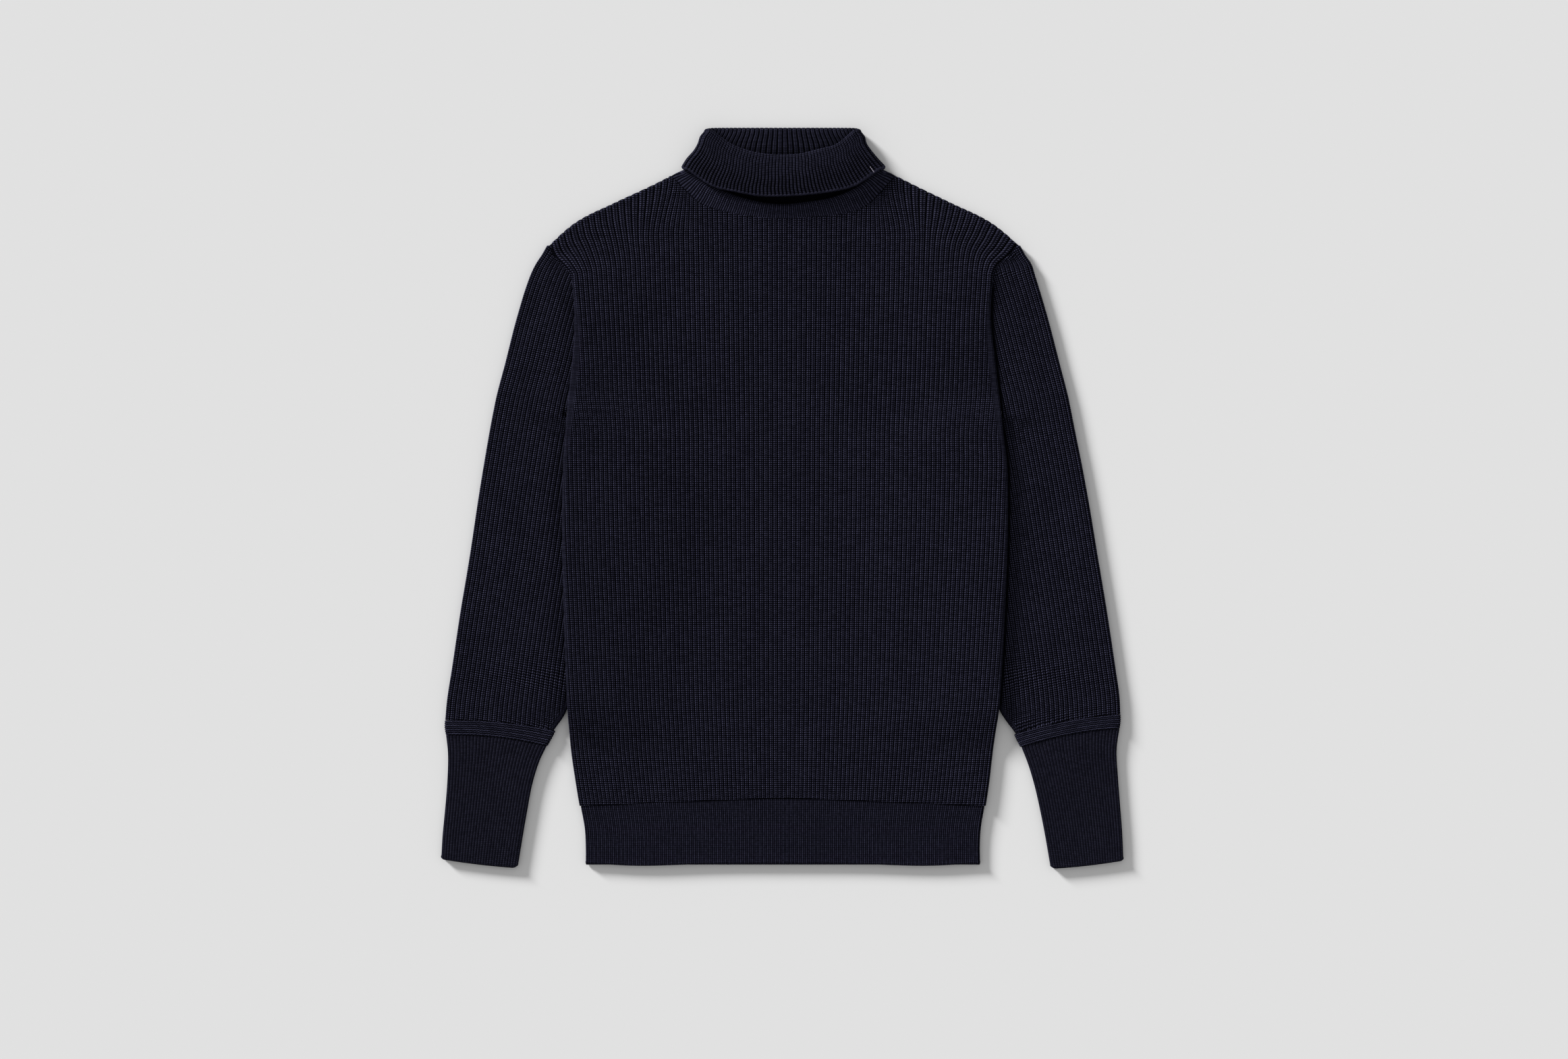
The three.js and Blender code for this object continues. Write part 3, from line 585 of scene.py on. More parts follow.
# Lines across a sleeve from its head to its wrist: where each meets the outer fold and the inner join
# on the wearer's right and left, its bow, and how far the join is rounded.
SLEEVE = np.array([
    # rightX rightY leftX leftY inRX  inRY   inLX  inLY  bow  curl
    [248.1, 265.8, 251.0, 265.8, 244.7, 265.8, 247.4, 265.8, 0.0, 0.0],
    [249.3, 263.5, 252.0, 263.5, 244.0, 263.5, 246.0, 263.5, 0.0, 0.0],
    [250.7, 261, 253.5, 261, 243.2, 261, 244.2, 261, 0.0, 0.0],
    [253.5, 256, 256.1, 256, 241.1, 256, 239.1, 256, 0.0, 0.0],
    [260.1, 246, 262.9, 246, 231.6, 246, 227.2, 246, 0.0, 0.0],
    [265.5, 235, 266.5, 235, 222.2, 235, 222.2, 235, 0.0, 0.0],
    [280.0, 190, 280.0, 190, 216.0, 190, 216.8, 190, 0.0, 0.0],
    [292.8, 140, 293.0, 140, 218.7, 140, 222.0, 140, 0.0, 0.0],
    [301.5, 107, 301.5, 107, 222.6, 107, 225.8, 107, 0.0, 0.0],
    [303.8, 96, 303.8, 96, 225.1, 96, 228.6, 96, 0.0, 0.5],
    [306.0, 85, 306.0, 85, 227.6, 85, 231.5, 85, 0.0, 1.0],
    [309.5, 66, 309.7, 66, 198.6, 66, 203.0, 66, 0.0, 1.0],
    [314.0, 40, 315.0, 40, 178.5, 40, 184.4, 40, 0.0, 1.0],
    [320.5, 0, 322.5, 0, 177.5, 0, 183.6, 0, 0.0, 1.0],
    [329.5, -60, 332.5, -60, 190.5, -60, 195.8, -60, 0.0, 1.0],
    [339.5, -120, 342.5, -120, 204.0, -120, 208.5, -120, 0.0, 1.0],
    [348.5, -180, 351.5, -180, 216.0, -180, 219.3, -180, 0.0, 1.0],
    [353.5, -212, 355.5, -208, 226.0, -223, 228.0, -223, 2.0, 1.0],
    [355.5, -233.7, 356.5, -227.2, 240.0, -244.7, 245.5, -248.7, 3.7, 1.0],
]).T
RIB_PITCH = 4.95  # of the sleeves' ribs, all the way down
# Soft troughs in each sleeve, with the same columns as those on the front.
SLEEVE_SETTLED = {
    -1: [[-300, 60, -262, -60, 13, 0.8], [-282, 150, -256, 215, 9, 0.7], [-330, -80, -270, -140, 16, 0.7]],
    1: [[306, 20, 258, -50, 14, 0.8], [284, 140, 254, 205, 9, 0.8], [338, -130, 280, -170, 15, 0.7]],
}
EVEN = 118  # width over which a sleeve's grid is shared out evenly


def line_of(table, side, at):
    """The table's columns for one side, on the lines that meet the outer fold at that y."""
    first = 0 if side < 0 else 2
    key = -table[first + 1]
    pick = {"out_x": first, "out_y": first + 1, "in_x": 4 + first, "in_y": 5 + first, "bow": 8, "curl": 9}
    return {name: through(key, table[row], -at) for name, row in pick.items()}


def flat_tube(t, line, thickness, side, even=None):
    """A flat tube. t runs from -1 at the join, along the lower layer to 0 at the outer fold and back
    along the upper layer to 1. Both folds are half circles about the plane between the layers. even is
    the width over which t is shared out evenly, so that on the outer half of the tube the grid runs
    with the ribs. Gives the middle of the cloth, and the lengths of cloth to the outer fold and to the
    join."""
    layer, plane = (thickness + AIR) / 2, thickness + AIR / 2
    quarter = layer * math.pi / 2
    length = line["out_x"] - line["in_x"] - thickness - 2 * layer + 2 * quarter
    even = length if even is None else np.maximum(even, length * 0.7)
    run = np.abs(t) * even
    past_half = (run - length / 2) * length / (2 * even - length)
    out_run = np.where(run < length / 2, run, length / 2 + past_half)
    in_run = length - out_run
    out_inset, out_height = rolled(out_run, layer)
    in_inset, in_height = rolled(in_run, layer)
    flank = thickness / 2 + layer
    butt = np.where(in_run < quarter, in_run * flank / quarter, flank + in_run - quarter)
    from_join = mix(butt, thickness / 2 + in_inset, line["curl"])
    outer_half = out_run < length / 2
    x = np.where(outer_half, line["out_x"] - thickness / 2 - out_inset, line["in_x"] + from_join)
    height = np.where(outer_half, out_height, mix(1, in_height, line["curl"]))
    f = (x - line["in_x"]) / (line["out_x"] - line["in_x"])
    y = mix(line["in_y"], line["out_y"], f) + line["bow"] * 4 * f * (1 - f)
    z = plane + np.where(t < 0, -1, 1) * layer * height
    return np.stack([side * x, y, z], axis=-1), out_run, in_run


def sleeve(name, side):
    """A sleeve, from the head of the armhole to the wrist band, with about eight columns to a rib."""
    t = np.linspace(-1, 1, 417)[None, :]
    first, last = SLEEVE[1 if side < 0 else 3, [0, -1]]
    drop = first - last
    # Rows lie closer where the join turns: at the head and at the armpit.
    down = np.concatenate([[0, 0.6, 1.5], np.linspace(3, 60, 40), np.linspace(64, 158, 27),
                           np.linspace(160.5, 230, 30), np.linspace(234, drop - 4, 66),
                           [drop - 1.5, drop - 0.6, drop]])
    line = line_of(SLEEVE, side, first - down[:, None])
    middle, out_run, in_run = flat_tube(t, line, RIB, side, even=EVEN)
    upper = ease(np.broadcast_to(t, out_run.shape) * 20)
    middle[..., 2] -= upper * sagged(middle[..., 0], middle[..., 1], SLEEVE_SETTLED[side])
    wale = np.where(t < 0, -1, 1) * out_run / RIB_PITCH
    along = np.broadcast_to(down[:, None], out_run.shape)
    # The courses cross the ribs squarely, so they count the length of the outer fold at its foot.
    slope = np.gradient(line["out_x"][:, 0]) / np.gradient(down)
    steps = np.hypot(1, (slope[1:] + slope[:-1]) / 2) * np.diff(down)
    sine = slope / np.hypot(1, slope)
    length = np.concatenate([[0], np.cumsum(steps)])[:, None] - out_run * sine[:, None]
    selvedge = (1 - ease((in_run - 3.5) / 2.5)) * ease((along - 400) / 40)
    thick = rim(along) * seam(drop - along) * rim(in_run)
    face = (rib_face(wale) * (1 - selvedge) - 0.5 * selvedge) * thick
    face = np.where(t < 0, np.minimum(face, 0), face)
    y = middle[..., 1]
    past_edge = side * middle[..., 0] - through(BODY[0], BODY[1 if side < 0 else 2], y)
    foot, head = ease((y + 230) / 14), ease((232 - y) / 14)
    if side < 0:
        # The right sleeve turns down beside the body, where painted shade darkens it.
        painted_shade_and_light = 0.28 * upper * foot * head * (1 - ease(past_edge / 22))
    else:
        # The body's left edge stands off the sleeve below it, and the narrow gap under it, where no light
        # gets in, is darkened with painted shade. Just outside it the sleeve is painted paler, a painted
        # light that lifts the shadow the edge casts there.
        painted_shade_and_light = 0.97 * upper * foot * head * (1 - ease((past_edge - 1.0) / 2.0))
        painted_light_strip = ease((past_edge - 2.5) / 2) * (1 - ease((past_edge - 6) / 14))
        painted_shade_and_light = painted_shade_and_light - 0.32 * upper * painted_light_strip * foot * ease((100 - y) / 40)
    return wall(name, middle, RIB / 2 * thick, face, wale, -length / COURSE, out=side,
                marks={"selvedge": selvedge, "deep": painted_shade_and_light})


SIDES = {"right": -1, "left": 1}
for side, sign in SIDES.items():
    arm = sleeve("knit_sleeve_" + side, sign)
    arm.data.materials.append(half_cardigan)
    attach(arm, "root")
    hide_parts("sleeve_" + side)

# ---------------------------------------------------------------------------------------------------
# Wrist bands
# Seven courses of purl knitted into the sleeve where it meets the cuff. Each is a fine wavy line of
# slanting loops that stands up from the cloth, and every second one is a little bolder.

BAND = np.array([
    # rightX rightY leftX leftY   inRX  inRY    inLX  inLY    bow  curl
    [355.5, -234.0, 356.5, -227.5, 238.3, -245.0, 243.6, -249.0, 3.7, 1],
    [355.7, -241.5, 356.5, -234.7, 242.3, -253.0, 246.6, -255.5, 3.8, 1],
    [354.5, -249.0, 355.5, -242.0, 246.8, -261.0, 250.1, -262.0, 3.8, 1],
]).T
BAND_WIDTH, RIDGES, LOOP = 15, 7, 3.8  # the last is the pitch of the loops along a ridge


def wrist_band(name, side):
    """A band round the wrist. Its lines are waves along the sleeve, 1 - cos 2 pi (r + 0.12 sin 2 pi l),
    so each one wavers with the loops round the wrist."""
    t = np.linspace(-1, 1, 321)[None, :]
    share = np.linspace(0, 1, 41)[:, None]
    first, last = BAND[1 if side < 0 else 3, [0, -1]]
    line = line_of(BAND, side, mix(first - 0.05, last + 0.05, share))
    middle, out_run, in_run = flat_tube(t, line, RIB, side)
    loops = np.where(t < 0, -1, 1) * out_run / LOOP
    ridge = 0.5 - 0.5 * np.cos(2 * math.pi * (RIDGES * share + 0.12 * np.sin(2 * math.pi * loops)))
    thick = seam(share * BAND_WIDTH) * seam((1 - share) * BAND_WIDTH) * rim(in_run)
    face = (0.7 * ridge - 0.5) * thick
    face = np.where(t < 0, np.minimum(face, 0), face)
    return wall(name, middle, RIB / 2 * thick, face, loops, RIDGES * share, out=side)


def garter_stitches(tree, loop, ridge):
    """Purl lines, 2.1 mm a line and 3.8 mm a loop, shaped as the cloth is: a painted highlight along the top
    of each line, where its loops lean over, and painted shade in a dark nick where one loop meets the next."""
    sway = wave(tree, loop, 1, "SINE")
    line = add(tree, "Math", sway, 0.12, ridge, operation="MULTIPLY_ADD")
    top = wave(tree, line)
    top = add(tree, "MapRange", top, 0.6, -0.9, 0.05, 0.58, interpolation_type="SMOOTHSTEP")
    bold = wave(tree, line, 0.5, "SINE")
    bold = add(tree, "MapRange", bold, -1.0, 1.0, 0.6, 1.0)
    lean = add(tree, "Math", loop, 2.0, operation="MULTIPLY")
    lean = add(tree, "Math", ridge, 0.5, lean, operation="MULTIPLY_ADD")
    nick = wave(tree, lean)
    nick = add(tree, "MapRange", nick, -1.0, 0.0, 0.4, 1.0)
    knit = add(tree, "Math", add(tree, "Math", top, nick, operation="MULTIPLY"), bold, operation="MULTIPLY")
    return knit


garter = wool("worsted_wool_garter_ridges", garter_stitches, NAVY_PAINTED_SHADE, NAVY_PAINTED_LIT, 0.4)

for side, sign in SIDES.items():
    band = wrist_band("knit_wrist_band_" + side, sign)
    band.data.materials.append(garter)
    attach(band, "root")
    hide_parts("wrist_band_" + side)

# ---------------------------------------------------------------------------------------------------
# Cuffs
# Long close cuffs in the fine rib. The ribs open out a little where they leave the wrist band, and
# the cuff is drawn in below it and ends in a soft cast-off edge.

CUFF = np.array([
    # rightX rightY leftX leftY   inRX  inRY    inLX  inLY    bow  curl
    [354.6, -249.0, 355.6, -242.0, 247.7, -261.0, 251.2, -262.0, 3.8, 1],
    [352.6, -268.0, 352.6, -264.0, 255.2, -277.0, 258.2, -280.0, 2.8, 1],
    [353.1, -296.0, 354.1, -296.0, 262.7, -301.0, 265.7, -305.0, 1.3, 1],
    [355.6, -328.0, 356.6, -328.0, 268.5, -331.0, 272.2, -334.0, 0.0, 1],
    [358.2, -355.0, 358.6, -355.0, 273.2, -358.0, 277.2, -360.0, -1.2, 1],
    [359.6, -380.0, 359.6, -381.5, 278.2, -389.5, 282.2, -390.3, -1.1, 1],
]).T
CUFF_RIBS, CUFF_COURSE = 29, 1.7  # ribs in one layer, and height of one course


def cuff(name, side):
    """A cuff: the ribs share out its width all the way down, and its outer corners are rounded."""
    t = np.linspace(-1, 1, 385)[None, :]
    first, last = CUFF[1 if side < 0 else 3, [0, -1]]
    drop = first - last
    down = np.concatenate([[0.05, 0.8, 1.8], np.linspace(5, drop - 5, 29),
                           [drop - 3, drop - 1.6, drop - 0.7, drop - 0.2, drop]])
    line = line_of(CUFF, side, first - down[:, None])
    middle, out_run, in_run = flat_tube(t, line, FINE, side)
    along = np.broadcast_to(down[:, None], out_run.shape)
    wale = CUFF_RIBS * np.broadcast_to(t, out_run.shape)
    left = drop - along
    # The corners of the cast-off edge are rounded: r - sqrt(r2 - (r - d)2) at d from either fold.
    for run, radius in ((out_run, 4.0), (in_run, 6.5)):
        near = np.clip(1 - (run + 0.6) / radius, 0, 1)
        middle[..., 1] += radius * (1 - np.sqrt(1 - near**2)) * np.exp(-left / 8)
    bead = 0.35 * np.exp(-((left - 1.3) / 1.0) ** 2)
    thick = seam(along) * rim(left, 1.6, 0.2) * rim(in_run)
    face = (fine_face(wale) * ease(left / 3) + bead) * thick
    face = np.where(t < 0, np.minimum(face, 0), face)
    return wall(name, middle, FINE / 2 * thick, face, wale, -along / CUFF_COURSE, out=side)


def cuff_stitches(tree, wale, course):
    """The rib pulled out to 3 mm. Its ribs have spread, so little shows between them: 1 - cos 2 pi w
    across, and small V stitches, cos 2 pi (c + v), along, with v the distance from the valley."""
    from_valley = add(tree, "Math", wale, 0.5, operation="PINGPONG")
    ridge = add(tree, "MapRange", from_valley, 0.02, 0.26, 0.22, 1.0, interpolation_type="SMOOTHSTEP")
    slant = add(tree, "Math", from_valley, 1.0, course, operation="MULTIPLY_ADD")
    beat = wave(tree, slant)
    beat = add(tree, "MapRange", beat, -0.7, 0.9, 0.16, 1.0)
    legs = wave(tree, wale, 2)
    legs = add(tree, "MapRange", legs, -1.0, 1.0, 0.36, 0.16)
    knit = add(tree, "Math", add(tree, "Math", ridge, legs, operation="MULTIPLY"), beat, operation="MULTIPLY")
    return knit


spread_rib = wool("worsted_wool_spread_one_by_one_rib", cuff_stitches, NAVY_PAINTED_SHADE, "#48485e", 0.35)

for side, sign in SIDES.items():
    wrist = cuff("knit_cuff_" + side, sign)
    wrist.data.materials.append(spread_rib)
    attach(wrist, "root")
    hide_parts("cuff_" + side)

# ---------------------------------------------------------------------------------------------------
# Neck band
# A ring of fine rib round the neck that the collar is linked to. It rises from its seam to a crest,
# where it is folded, and dips behind the crest to the foot of the collar.

# How far the standing and the turned-down layers are from the plane in the middle of the collar.
STAND, ROLL = LAYER, (RIB + AIR) * 1.5


def round_the_neck(w):
    """t across the neck, and the angle round a fold: a quarter turn up on the front, and down on the
    back."""
    part, f = np.floor(w), w % 1.0
    places = [part == 0, part == 1, part == 2]
    t = np.select(places, [2 * f - 1, np.ones_like(f), 1 - 2 * f], -1.0)
    turn = np.select(places, [np.ones_like(f), 1 - 2 * f, -np.ones_like(f)], 2 * f - 1)
    return t, turn * math.pi / 2


def neck_ring(w, half, front_y, back_y, front_z, back_z, corner=0.0, spread=0.0, centre=NECK_CENTRE):
    """A ring round the flat neck. w counts quarters: 0 to 1 the front from right to left, 1 to 2 the
    left fold, 2 to 3 the back and 3 to 4 the right fold. Each fold is a half circle between the
    heights of front and back. half is the half width, and the next four values are functions of t,
    from -1 to 1 across the neck. corner draws the ends down, and spread crowds the ribs towards them:
    t (1 + spread (1 - t2))."""
    t, angle = round_the_neck(w)
    t = t * (1 + spread * (1 - t * t))
    fy, by, fz, bz = front_y(t), back_y(t), front_z(t), back_z(t)
    radius = (fz - bz) / 2
    share = (1 - np.sin(angle)) / 2
    x = centre + half * t + np.sign(t) * radius * np.cos(angle)
    y = mix(fy, by, share) - corner * (np.abs(t) ** 14 + 1.5 * np.cos(angle))
    return np.stack(np.broadcast_arrays(x, y, (fz + bz) / 2 + radius * np.sin(angle)), axis=-1)


def ring_places(front, fold, back, each):
    """Places round a ring, with the ribs counted for each: front, fold, back and fold take so many
    ribs, each cut into that many steps."""
    counts = np.array([front, fold, back, fold])
    ribs = np.arange(counts.sum() * each + 1) / each
    ends = np.concatenate([[0], np.cumsum(counts)])
    w = np.interp(ribs, ends, np.arange(5))
    return w[:-1][None, :], ribs[None, :]


CREST_HALF, BASE_HALF = 101, 99  # half widths at the crest and at the foot of the collar
BAND_LENGTH, BAND_COURSES = 18, 17
BACK_SLOPE_Y, BACK_CREST_Y, CREST_Z = 341.7, 344.8, 8.2
BACK_BASE, BACK_FOLD, BACK_EDGE = 348, 390, 351  # y of the collar's foot, fold and edge on the back
FRONT_LEVEL, BACK_LEVEL = PLANE + LAYER, PLANE - LAYER
COLLAR_PLANE = FRONT_LEVEL + BACK_LEVEL + AIR / 2


def base_y(t):
    """y of the collar's foot in front, just behind the neck band's crest."""
    return neck_line(CREST, t) + 3


def base_z(t):
    """Height of the collar's foot in front, which rises towards the sides."""
    return mix(FRONT_LEVEL, COLLAR_PLANE + STAND, t * t)


def level(value):
    """A function of t that is the same all the way across."""
    return lambda t: value + 0 * t


def neck_band(name):
    """The neck band, from its seam up over the crest and in to the foot of the collar."""
    w, ribs = ring_places(100, 4, 84, 6)
    slope_half = mix(NECK_HALF - 2, CREST_HALF + 3, 0.35)
    behind = level(COLLAR_PLANE - STAND)
    rings = [
        neck_ring(w, NECK_HALF - 1.6, lambda t: neck_line(SEAM, t) + 0.05, lambda t: back_neck(t) + 0.05,
                  level(FRONT_LEVEL), level(BACK_LEVEL), corner=0.7),
        neck_ring(w, slope_half, lambda t: mix(neck_line(SEAM, t), neck_line(CREST, t), 0.32),
                  level(BACK_SLOPE_Y), level(FRONT_LEVEL + 1), level(BACK_LEVEL + 1), corner=0.6),
        neck_ring(w, CREST_HALF + 3.5, lambda t: neck_line(CREST, t) - 2, level(BACK_CREST_Y),
                  level(CREST_Z), level(BACK_LEVEL + 2.4), corner=0.5),
        neck_ring(w, BASE_HALF, lambda t: base_y(t) - 1.6, level(BACK_BASE - 1.6), base_z, behind),
        neck_ring(w, BASE_HALF, lambda t: base_y(t) - 0.3, level(BACK_BASE - 0.3), base_z, behind),
    ]
    share = np.linspace(0, 1, 29)
    middle = through(np.array([0, 0.35, 0.7, 0.93, 1.0]), np.concatenate(rings), share)
    share = share[:, None]
    thick = seam(share * BAND_LENGTH) * rim((1 - share) * BAND_LENGTH)
    face = fine_face(ribs[:, :-1]) * thick
    t, angle = round_the_neck(w)
    # Painted shade in the fold behind the crest, where no light reaches.
    deep = 0.97 * ease((share - 0.8) / 0.06) * np.clip(np.sin(angle), 0, 1) * (1 - t**8)
    courses = share * BAND_COURSES
    return wall(name, middle, RIB / 2 * thick, face, ribs, courses, closed=True, marks={"deep": deep})


# A paler copy of the one-by-one rib for the band round the neck: its lighter colour is painted light that
# lifts the shade on the band.
neck_rib = wool("worsted_wool_one_by_one_rib_painted_paler", rib_stitches, NAVY_PAINTED_SHADE, "#54546f", 0.4)

band = neck_band("knit_neck_band")
band.data.materials.append(neck_rib)
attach(band, "root")
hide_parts("neck_band")

# ---------------------------------------------------------------------------------------------------
# Roll collar
# One tube of rib, linked to the neck band. It stands up flat, folds outwards in a soft roll and hangs
# down again to its free edge, which is cast off in a chain. Its inner face is the one that shows.

STAND_HALF = 76.1  # half width of the standing layer at the roll
# The turned-down layer: share of the way down, half width, how far it stands up in the middle, and
# its centre.
TURN_DOWN = np.array([
    [0.15, 80.0, 1.2, 0.2],
    [0.35, 82.3, 2.0, -0.1],
    [0.55, 86.9, 2.2, 0.3],
    [0.80, 94.9, 2.0, 0.1],
    [1.00, 101.2, 1.8, 1.4],
])
TURN_LENGTH, COLLAR_COURSE = 42, 1.8  # cloth in each layer of the collar, and height of one course


def collar(name):
    """The collar's tube, from its foot up the stand, over the roll and down to the cast-off edge."""
    w, ribs = ring_places(54, 4, 34, 8)
    t, angle = round_the_neck(w)
    front = np.clip(np.sin(angle), 0, 1)  # 1 on the front and 0 on the back
    rings, keys = [], []

    def fold_y(t):
        return neck_line(FOLD, t)

    def ring(key, half, front_y, back_y, front_z, back_z, corner=0.0, spread=0.2, centre=0.4):
        """One ring of the collar, at so much cloth from its foot."""
        keys.append(key)
        back_y, back_z, spread = level(back_y), level(back_z), mix(0.1, spread, front)
        rings.append(neck_ring(w, half, front_y, back_y, front_z, back_z, corner, spread, centre))

    for share in (0, 0.25, 0.6):
        ring(share * TURN_LENGTH, mix(BASE_HALF, STAND_HALF, share),
             lambda t: mix(base_y(t), fold_y(t), share), mix(BACK_BASE, BACK_FOLD, share),
             lambda t: mix(base_z(t), COLLAR_PLANE + STAND, np.minimum(1, share * 2.4 * (1 + t * t))),
             COLLAR_PLANE - STAND)
    for turn in np.radians([-90, -60, -30, 0, 30, 60, 90]):
        radius = (STAND + ROLL) / 2 + STAND * math.sin(turn)
        inset = RIB / 2 + STAND * (1 - math.cos(turn))
        ring(TURN_LENGTH + 1 + STAND * (turn + math.pi / 2), STAND_HALF, lambda t: fold_y(t) - inset,
             BACK_FOLD - inset, level(COLLAR_PLANE + radius), COLLAR_PLANE - radius, corner=0.3)
    start = keys[-1]
    for share, half, puff, centre in TURN_DOWN:
        ring(start + share * TURN_LENGTH, half, lambda t: mix(fold_y(t) - 3, neck_line(EDGE, t), share),
             mix(BACK_FOLD - 3, BACK_EDGE, share),
             lambda t: COLLAR_PLANE + ROLL + puff * (1 - t * t), COLLAR_PLANE - ROLL,
             corner=0.3 * (1 - share) ** 4 + 0.2 * share**8, spread=mix(0.2, 0.1, share), centre=centre)
    keys = np.array(keys)
    end = keys[-1]
    at = np.concatenate([[0, 0.8, 2], np.linspace(5, 40, 14), np.linspace(42, start + 1, 13),
                         np.linspace(start + 3, end - 4, 22),
                         [end - 2.4, end - 1.4, end - 0.7, end - 0.3, end]])
    middle = through(keys, np.concatenate(rings), at)
    along = at[:, None]
    left = end - along
    thick = rim(along) * rim(left, 1.4, 0.3)
    # Right on the roll the ribs are pulled nearly flat, and the cast-off chain stands up a little.
    flattened = 1 - 0.72 * np.exp(-(((along - start + 2.8) / 3.4) ** 2))
    bind = np.exp(-(((left - 1.0) / 0.8) ** 2))
    face = (rib_face(ribs[:, :-1]) * ease((left - 0.8) / 2) * flattened + 0.5 * bind) * thick
    face = np.where((along > start) & (angle < 0), np.minimum(face, 0), face)
    # Painted shade where no light reaches: the foot of the stand in front, and the back just above the
    # front's fold.
    foot = front * (1 - ease((along - 18) / 14))
    above_fold = ease((middle[..., 1] - fold_y(t)) / 11)
    painted_shade_inside = np.clip(-np.sin(angle), 0, 1) * (along < start) * (1 - above_fold)
    return wall(name, middle, RIB / 2 * thick, face, ribs, along / COLLAR_COURSE, closed=True, out=-1,
                marks={"selvedge": bind, "deep": 0.97 * foot + 0.6 * painted_shade_inside})


def collar_stitches(tree, wale, course):
    """The half cardigan rib again, stretched round the neck: 3.8 mm a rib on the turn-down. On the stand
    and over the roll each rib has its two legs, and right on the roll, at course 25.4, they run
    together. Further down, from course 32 to 44, the turn-down hangs slack and the two close up to one.
    The cast-off edge is a chain that goes to and fro: cos 4 pi (c + 0.2 sin 4 pi w)."""
    slack = add(tree, "MapRange", course, 32.0, 44.0, 0.0, 1.0, interpolation_type="SMOOTHSTEP")
    from_valley = add(tree, "Math", wale, 0.5, operation="PINGPONG")
    shown = add(tree, "Math", slack, -0.07, from_valley, operation="MULTIPLY_ADD")
    ridge = add(tree, "MapRange", shown, 0.04, 0.27, 0.05, 1.0, interpolation_type="SMOOTHSTEP")
    off_roll = add(tree, "Math", add(tree, "Math", course, 25.4, operation="SUBTRACT"), operation="ABSOLUTE")
    crown = add(tree, "MapRange", off_roll, 1.0, 2.7, 0.45, 0.0, interpolation_type="SMOOTHSTEP")
    ridge = add(tree, "Math", ridge, crown, operation="MAXIMUM")
    legs = wave(tree, wale, 2)
    middle = add(tree, "MapRange", slack, 0.0, 1.0, 0.4, 1.0)
    lobes = add(tree, "MapRange", legs, 0.6, -0.9, middle, 1.0)
    bow = wave(tree, wale)
    arch = add(tree, "Math", bow, 0.12, course, operation="MULTIPLY_ADD")
    beat = wave(tree, arch)
    row = add(tree, "MapRange", beat, -0.7, 0.9, 0.12, 0.52, interpolation_type="SMOOTHSTEP")
    soft = add(tree, "MapRange", slack, 0.0, 1.0, 1.0, 0.64)
    row = add(tree, "Math", row, soft, operation="MULTIPLY")
    rib = add(tree, "Math", add(tree, "Math", ridge, lobes, operation="MULTIPLY"), row, operation="MULTIPLY")
    sway = wave(tree, wale, 2, "SINE")
    chain = add(tree, "Math", sway, 0.2, course, operation="MULTIPLY_ADD")
    chain = wave(tree, chain, 2)
    chain = add(tree, "MapRange", chain, -0.8, 0.8, 0.1, 0.55)
    edge = add(tree, "Attribute", attribute_name="selvedge")
    knit = add(tree, "Mix", edge.outputs["Fac"], data_type="FLOAT")
    tree.links.new(rib.outputs[0], knit.inputs["A"])
    tree.links.new(chain.outputs[0], knit.inputs["B"])
    return knit


collar_rib = wool("worsted_wool_stretched_half_cardigan_rib", collar_stitches, NAVY_PAINTED_SHADE, NAVY_PAINTED_LIT, 0.6)

# A short pale tack of thread near the turn-down's left corner, 7 mm by 0.6 mm, drawn from its middle
# along its slant, on the uppermost layer only.
tree = collar_rib.node_tree
at_tack = add(tree, "Mapping", add(tree, "TexCoord").outputs["Object"], vector_type="TEXTURE")
at_tack.inputs["Location"].default_value = (94.3 * MM, 345.1 * MM, 0)
at_tack.inputs["Rotation"].default_value = (0, 0, math.radians(-54.8))
reach = add(tree, "SeparateXYZ", at_tack)
along_it, across_it = (add(tree, "Math", reach.outputs[k], operation="ABSOLUTE") for k in (0, 1))
in_length = add(tree, "MapRange", along_it, 3.4 * MM, 3.9 * MM, 1, 0)
in_width = add(tree, "MapRange", across_it, 0.2 * MM, 0.36 * MM, 1, 0)
on_top = add(tree, "MapRange", reach.outputs[2], 10.8 * MM, 11.2 * MM, 0, 1)
tacked = add(tree, "Math", in_length, in_width, operation="MULTIPLY")
tacked = add(tree, "Math", tacked, on_top, operation="MULTIPLY")
finish = next(node for node in tree.nodes if node.type == "BSDF_PRINCIPLED")
thread = add(tree, "Mix", tacked, data_type="RGBA")
tree.links.new(finish.inputs["Base Color"].links[0].from_socket, thread.inputs["A"])
thread.inputs["B"].default_value = linear("#8f8b96")
tree.links.new(thread.outputs["Result"], finish.inputs["Base Color"])

roll = collar("knit_collar")
roll.data.materials.append(collar_rib)
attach(roll, "root")
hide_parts("collar")

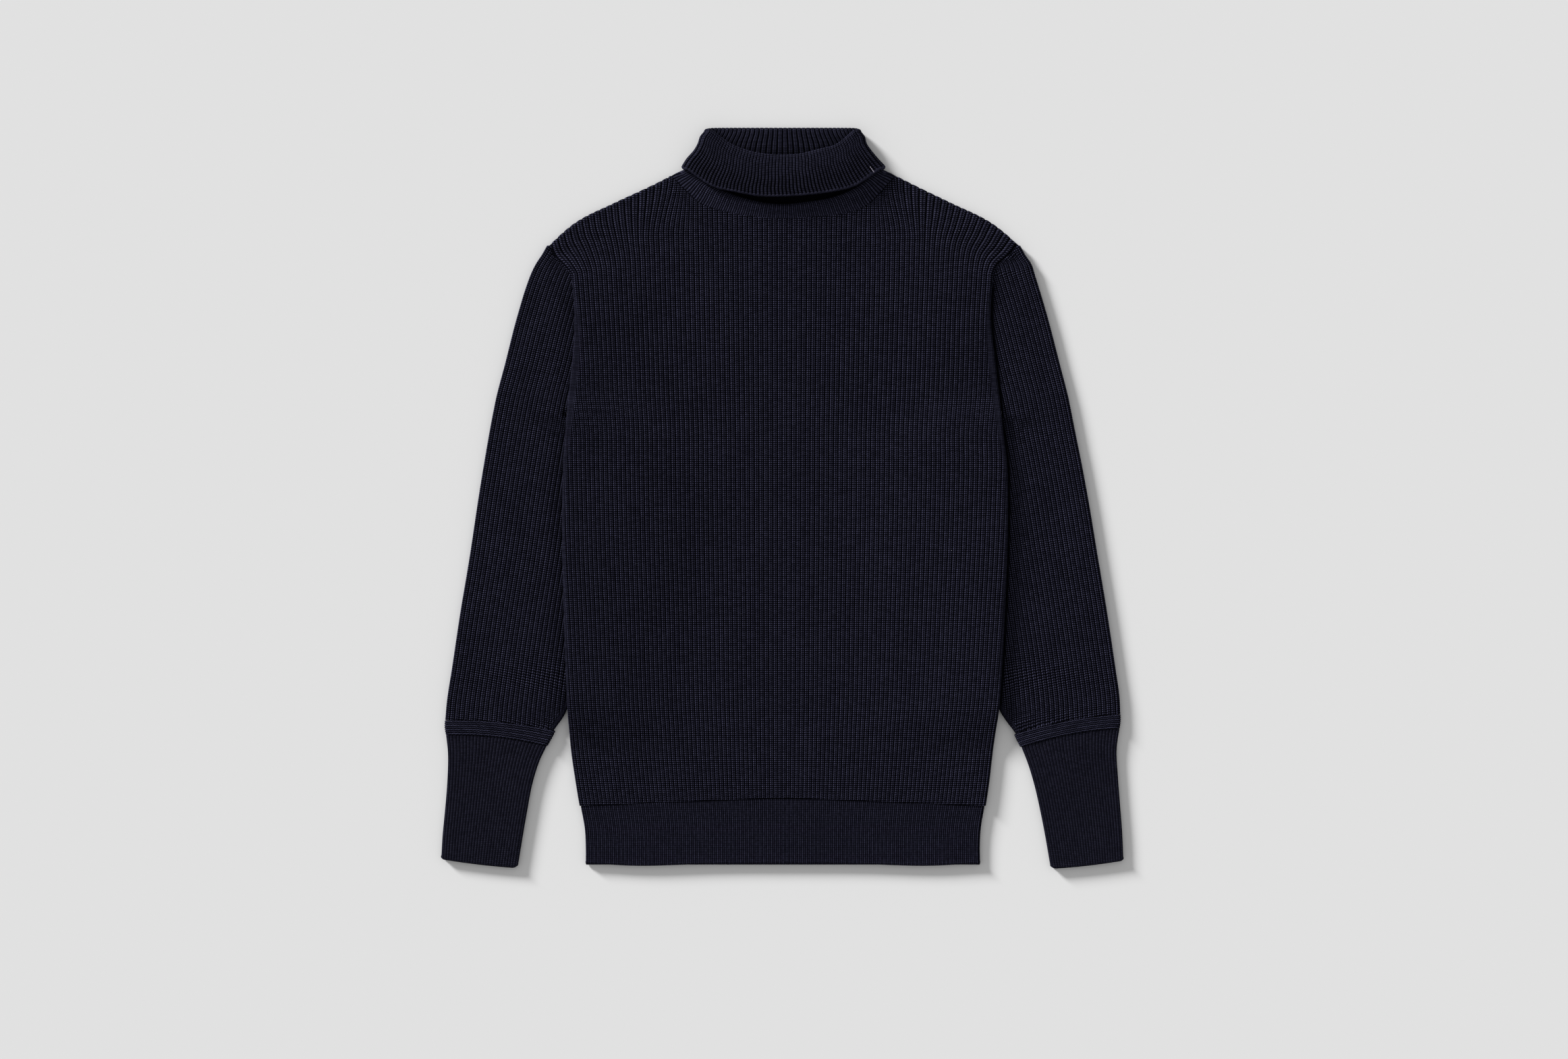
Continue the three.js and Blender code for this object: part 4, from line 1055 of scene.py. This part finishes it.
# ---------------------------------------------------------------------------------------------------
# The table, the light and the camera
# The sweater lies on a matt pale paper sweep in a white room, under one broad lamp that stands low at
# the upper left and throws soft shadows to the lower right. The camera looks straight down.

TABLE_REACH, TABLE_DROP = 6.0, -0.3 * MM
table_mesh = bpy.data.meshes.new("table")
corners = [(x * TABLE_REACH, y * TABLE_REACH, TABLE_DROP) for x, y in ((-1, -1), (1, -1), (1, 1), (-1, 1))]
table_mesh.from_pydata(corners, [], [(0, 1, 2, 3)])
table = bpy.data.objects.new("table", table_mesh)
bpy.context.scene.collection.objects.link(table)
# Matt paper has no gloss at all, so only the soft shadows show on it.
paper = bpy.data.materials.new("matt_paper_backdrop")
paper.use_nodes = True
sheet = paper.node_tree.nodes["Principled BSDF"]
sheet.inputs["Base Color"].default_value = linear("#e6e6e6")
sheet.inputs["Roughness"].default_value = 1.0
sheet.inputs["Specular IOR Level"].default_value = 0.0
table_mesh.materials.append(paper)

world = bpy.data.worlds.new("studio")
world.use_nodes = True
world.node_tree.nodes["Background"].inputs["Color"].default_value = (1, 1, 1, 1)
world.node_tree.nodes["Background"].inputs["Strength"].default_value = 0.45
bpy.context.scene.world = world

LAMP_STRENGTH, LAMP_ANGLE, LAMP_SHINES = 5.95, math.radians(12), Vector((0.81, -0.73, -0.3))
lamp = bpy.data.lights.new("key", "SUN")
lamp.energy, lamp.angle = LAMP_STRENGTH, LAMP_ANGLE
holder = bpy.data.objects.new("key", lamp)
bpy.context.scene.collection.objects.link(holder)
holder.rotation_mode = "QUATERNION"
holder.rotation_quaternion = LAMP_SHINES.to_track_quat("-Z", "Y")

LENS, SENSOR, VIEW_WIDTH, CLIP = 85.0, 36.0, 1.650, 20
VIEW_CENTRE = (1.8 * MM, -33 * MM, 7 * MM)
camera = bpy.data.objects.new("camera", bpy.data.cameras.new("camera"))
camera.data.lens, camera.data.sensor_width = LENS, SENSOR
camera.location = Vector(VIEW_CENTRE) + Vector((0, 0, LENS / SENSOR * VIEW_WIDTH))
camera.data.clip_end = CLIP
bpy.context.scene.collection.objects.link(camera)
bpy.context.scene.camera = camera
bpy.context.scene.view_settings.view_transform = "Standard"
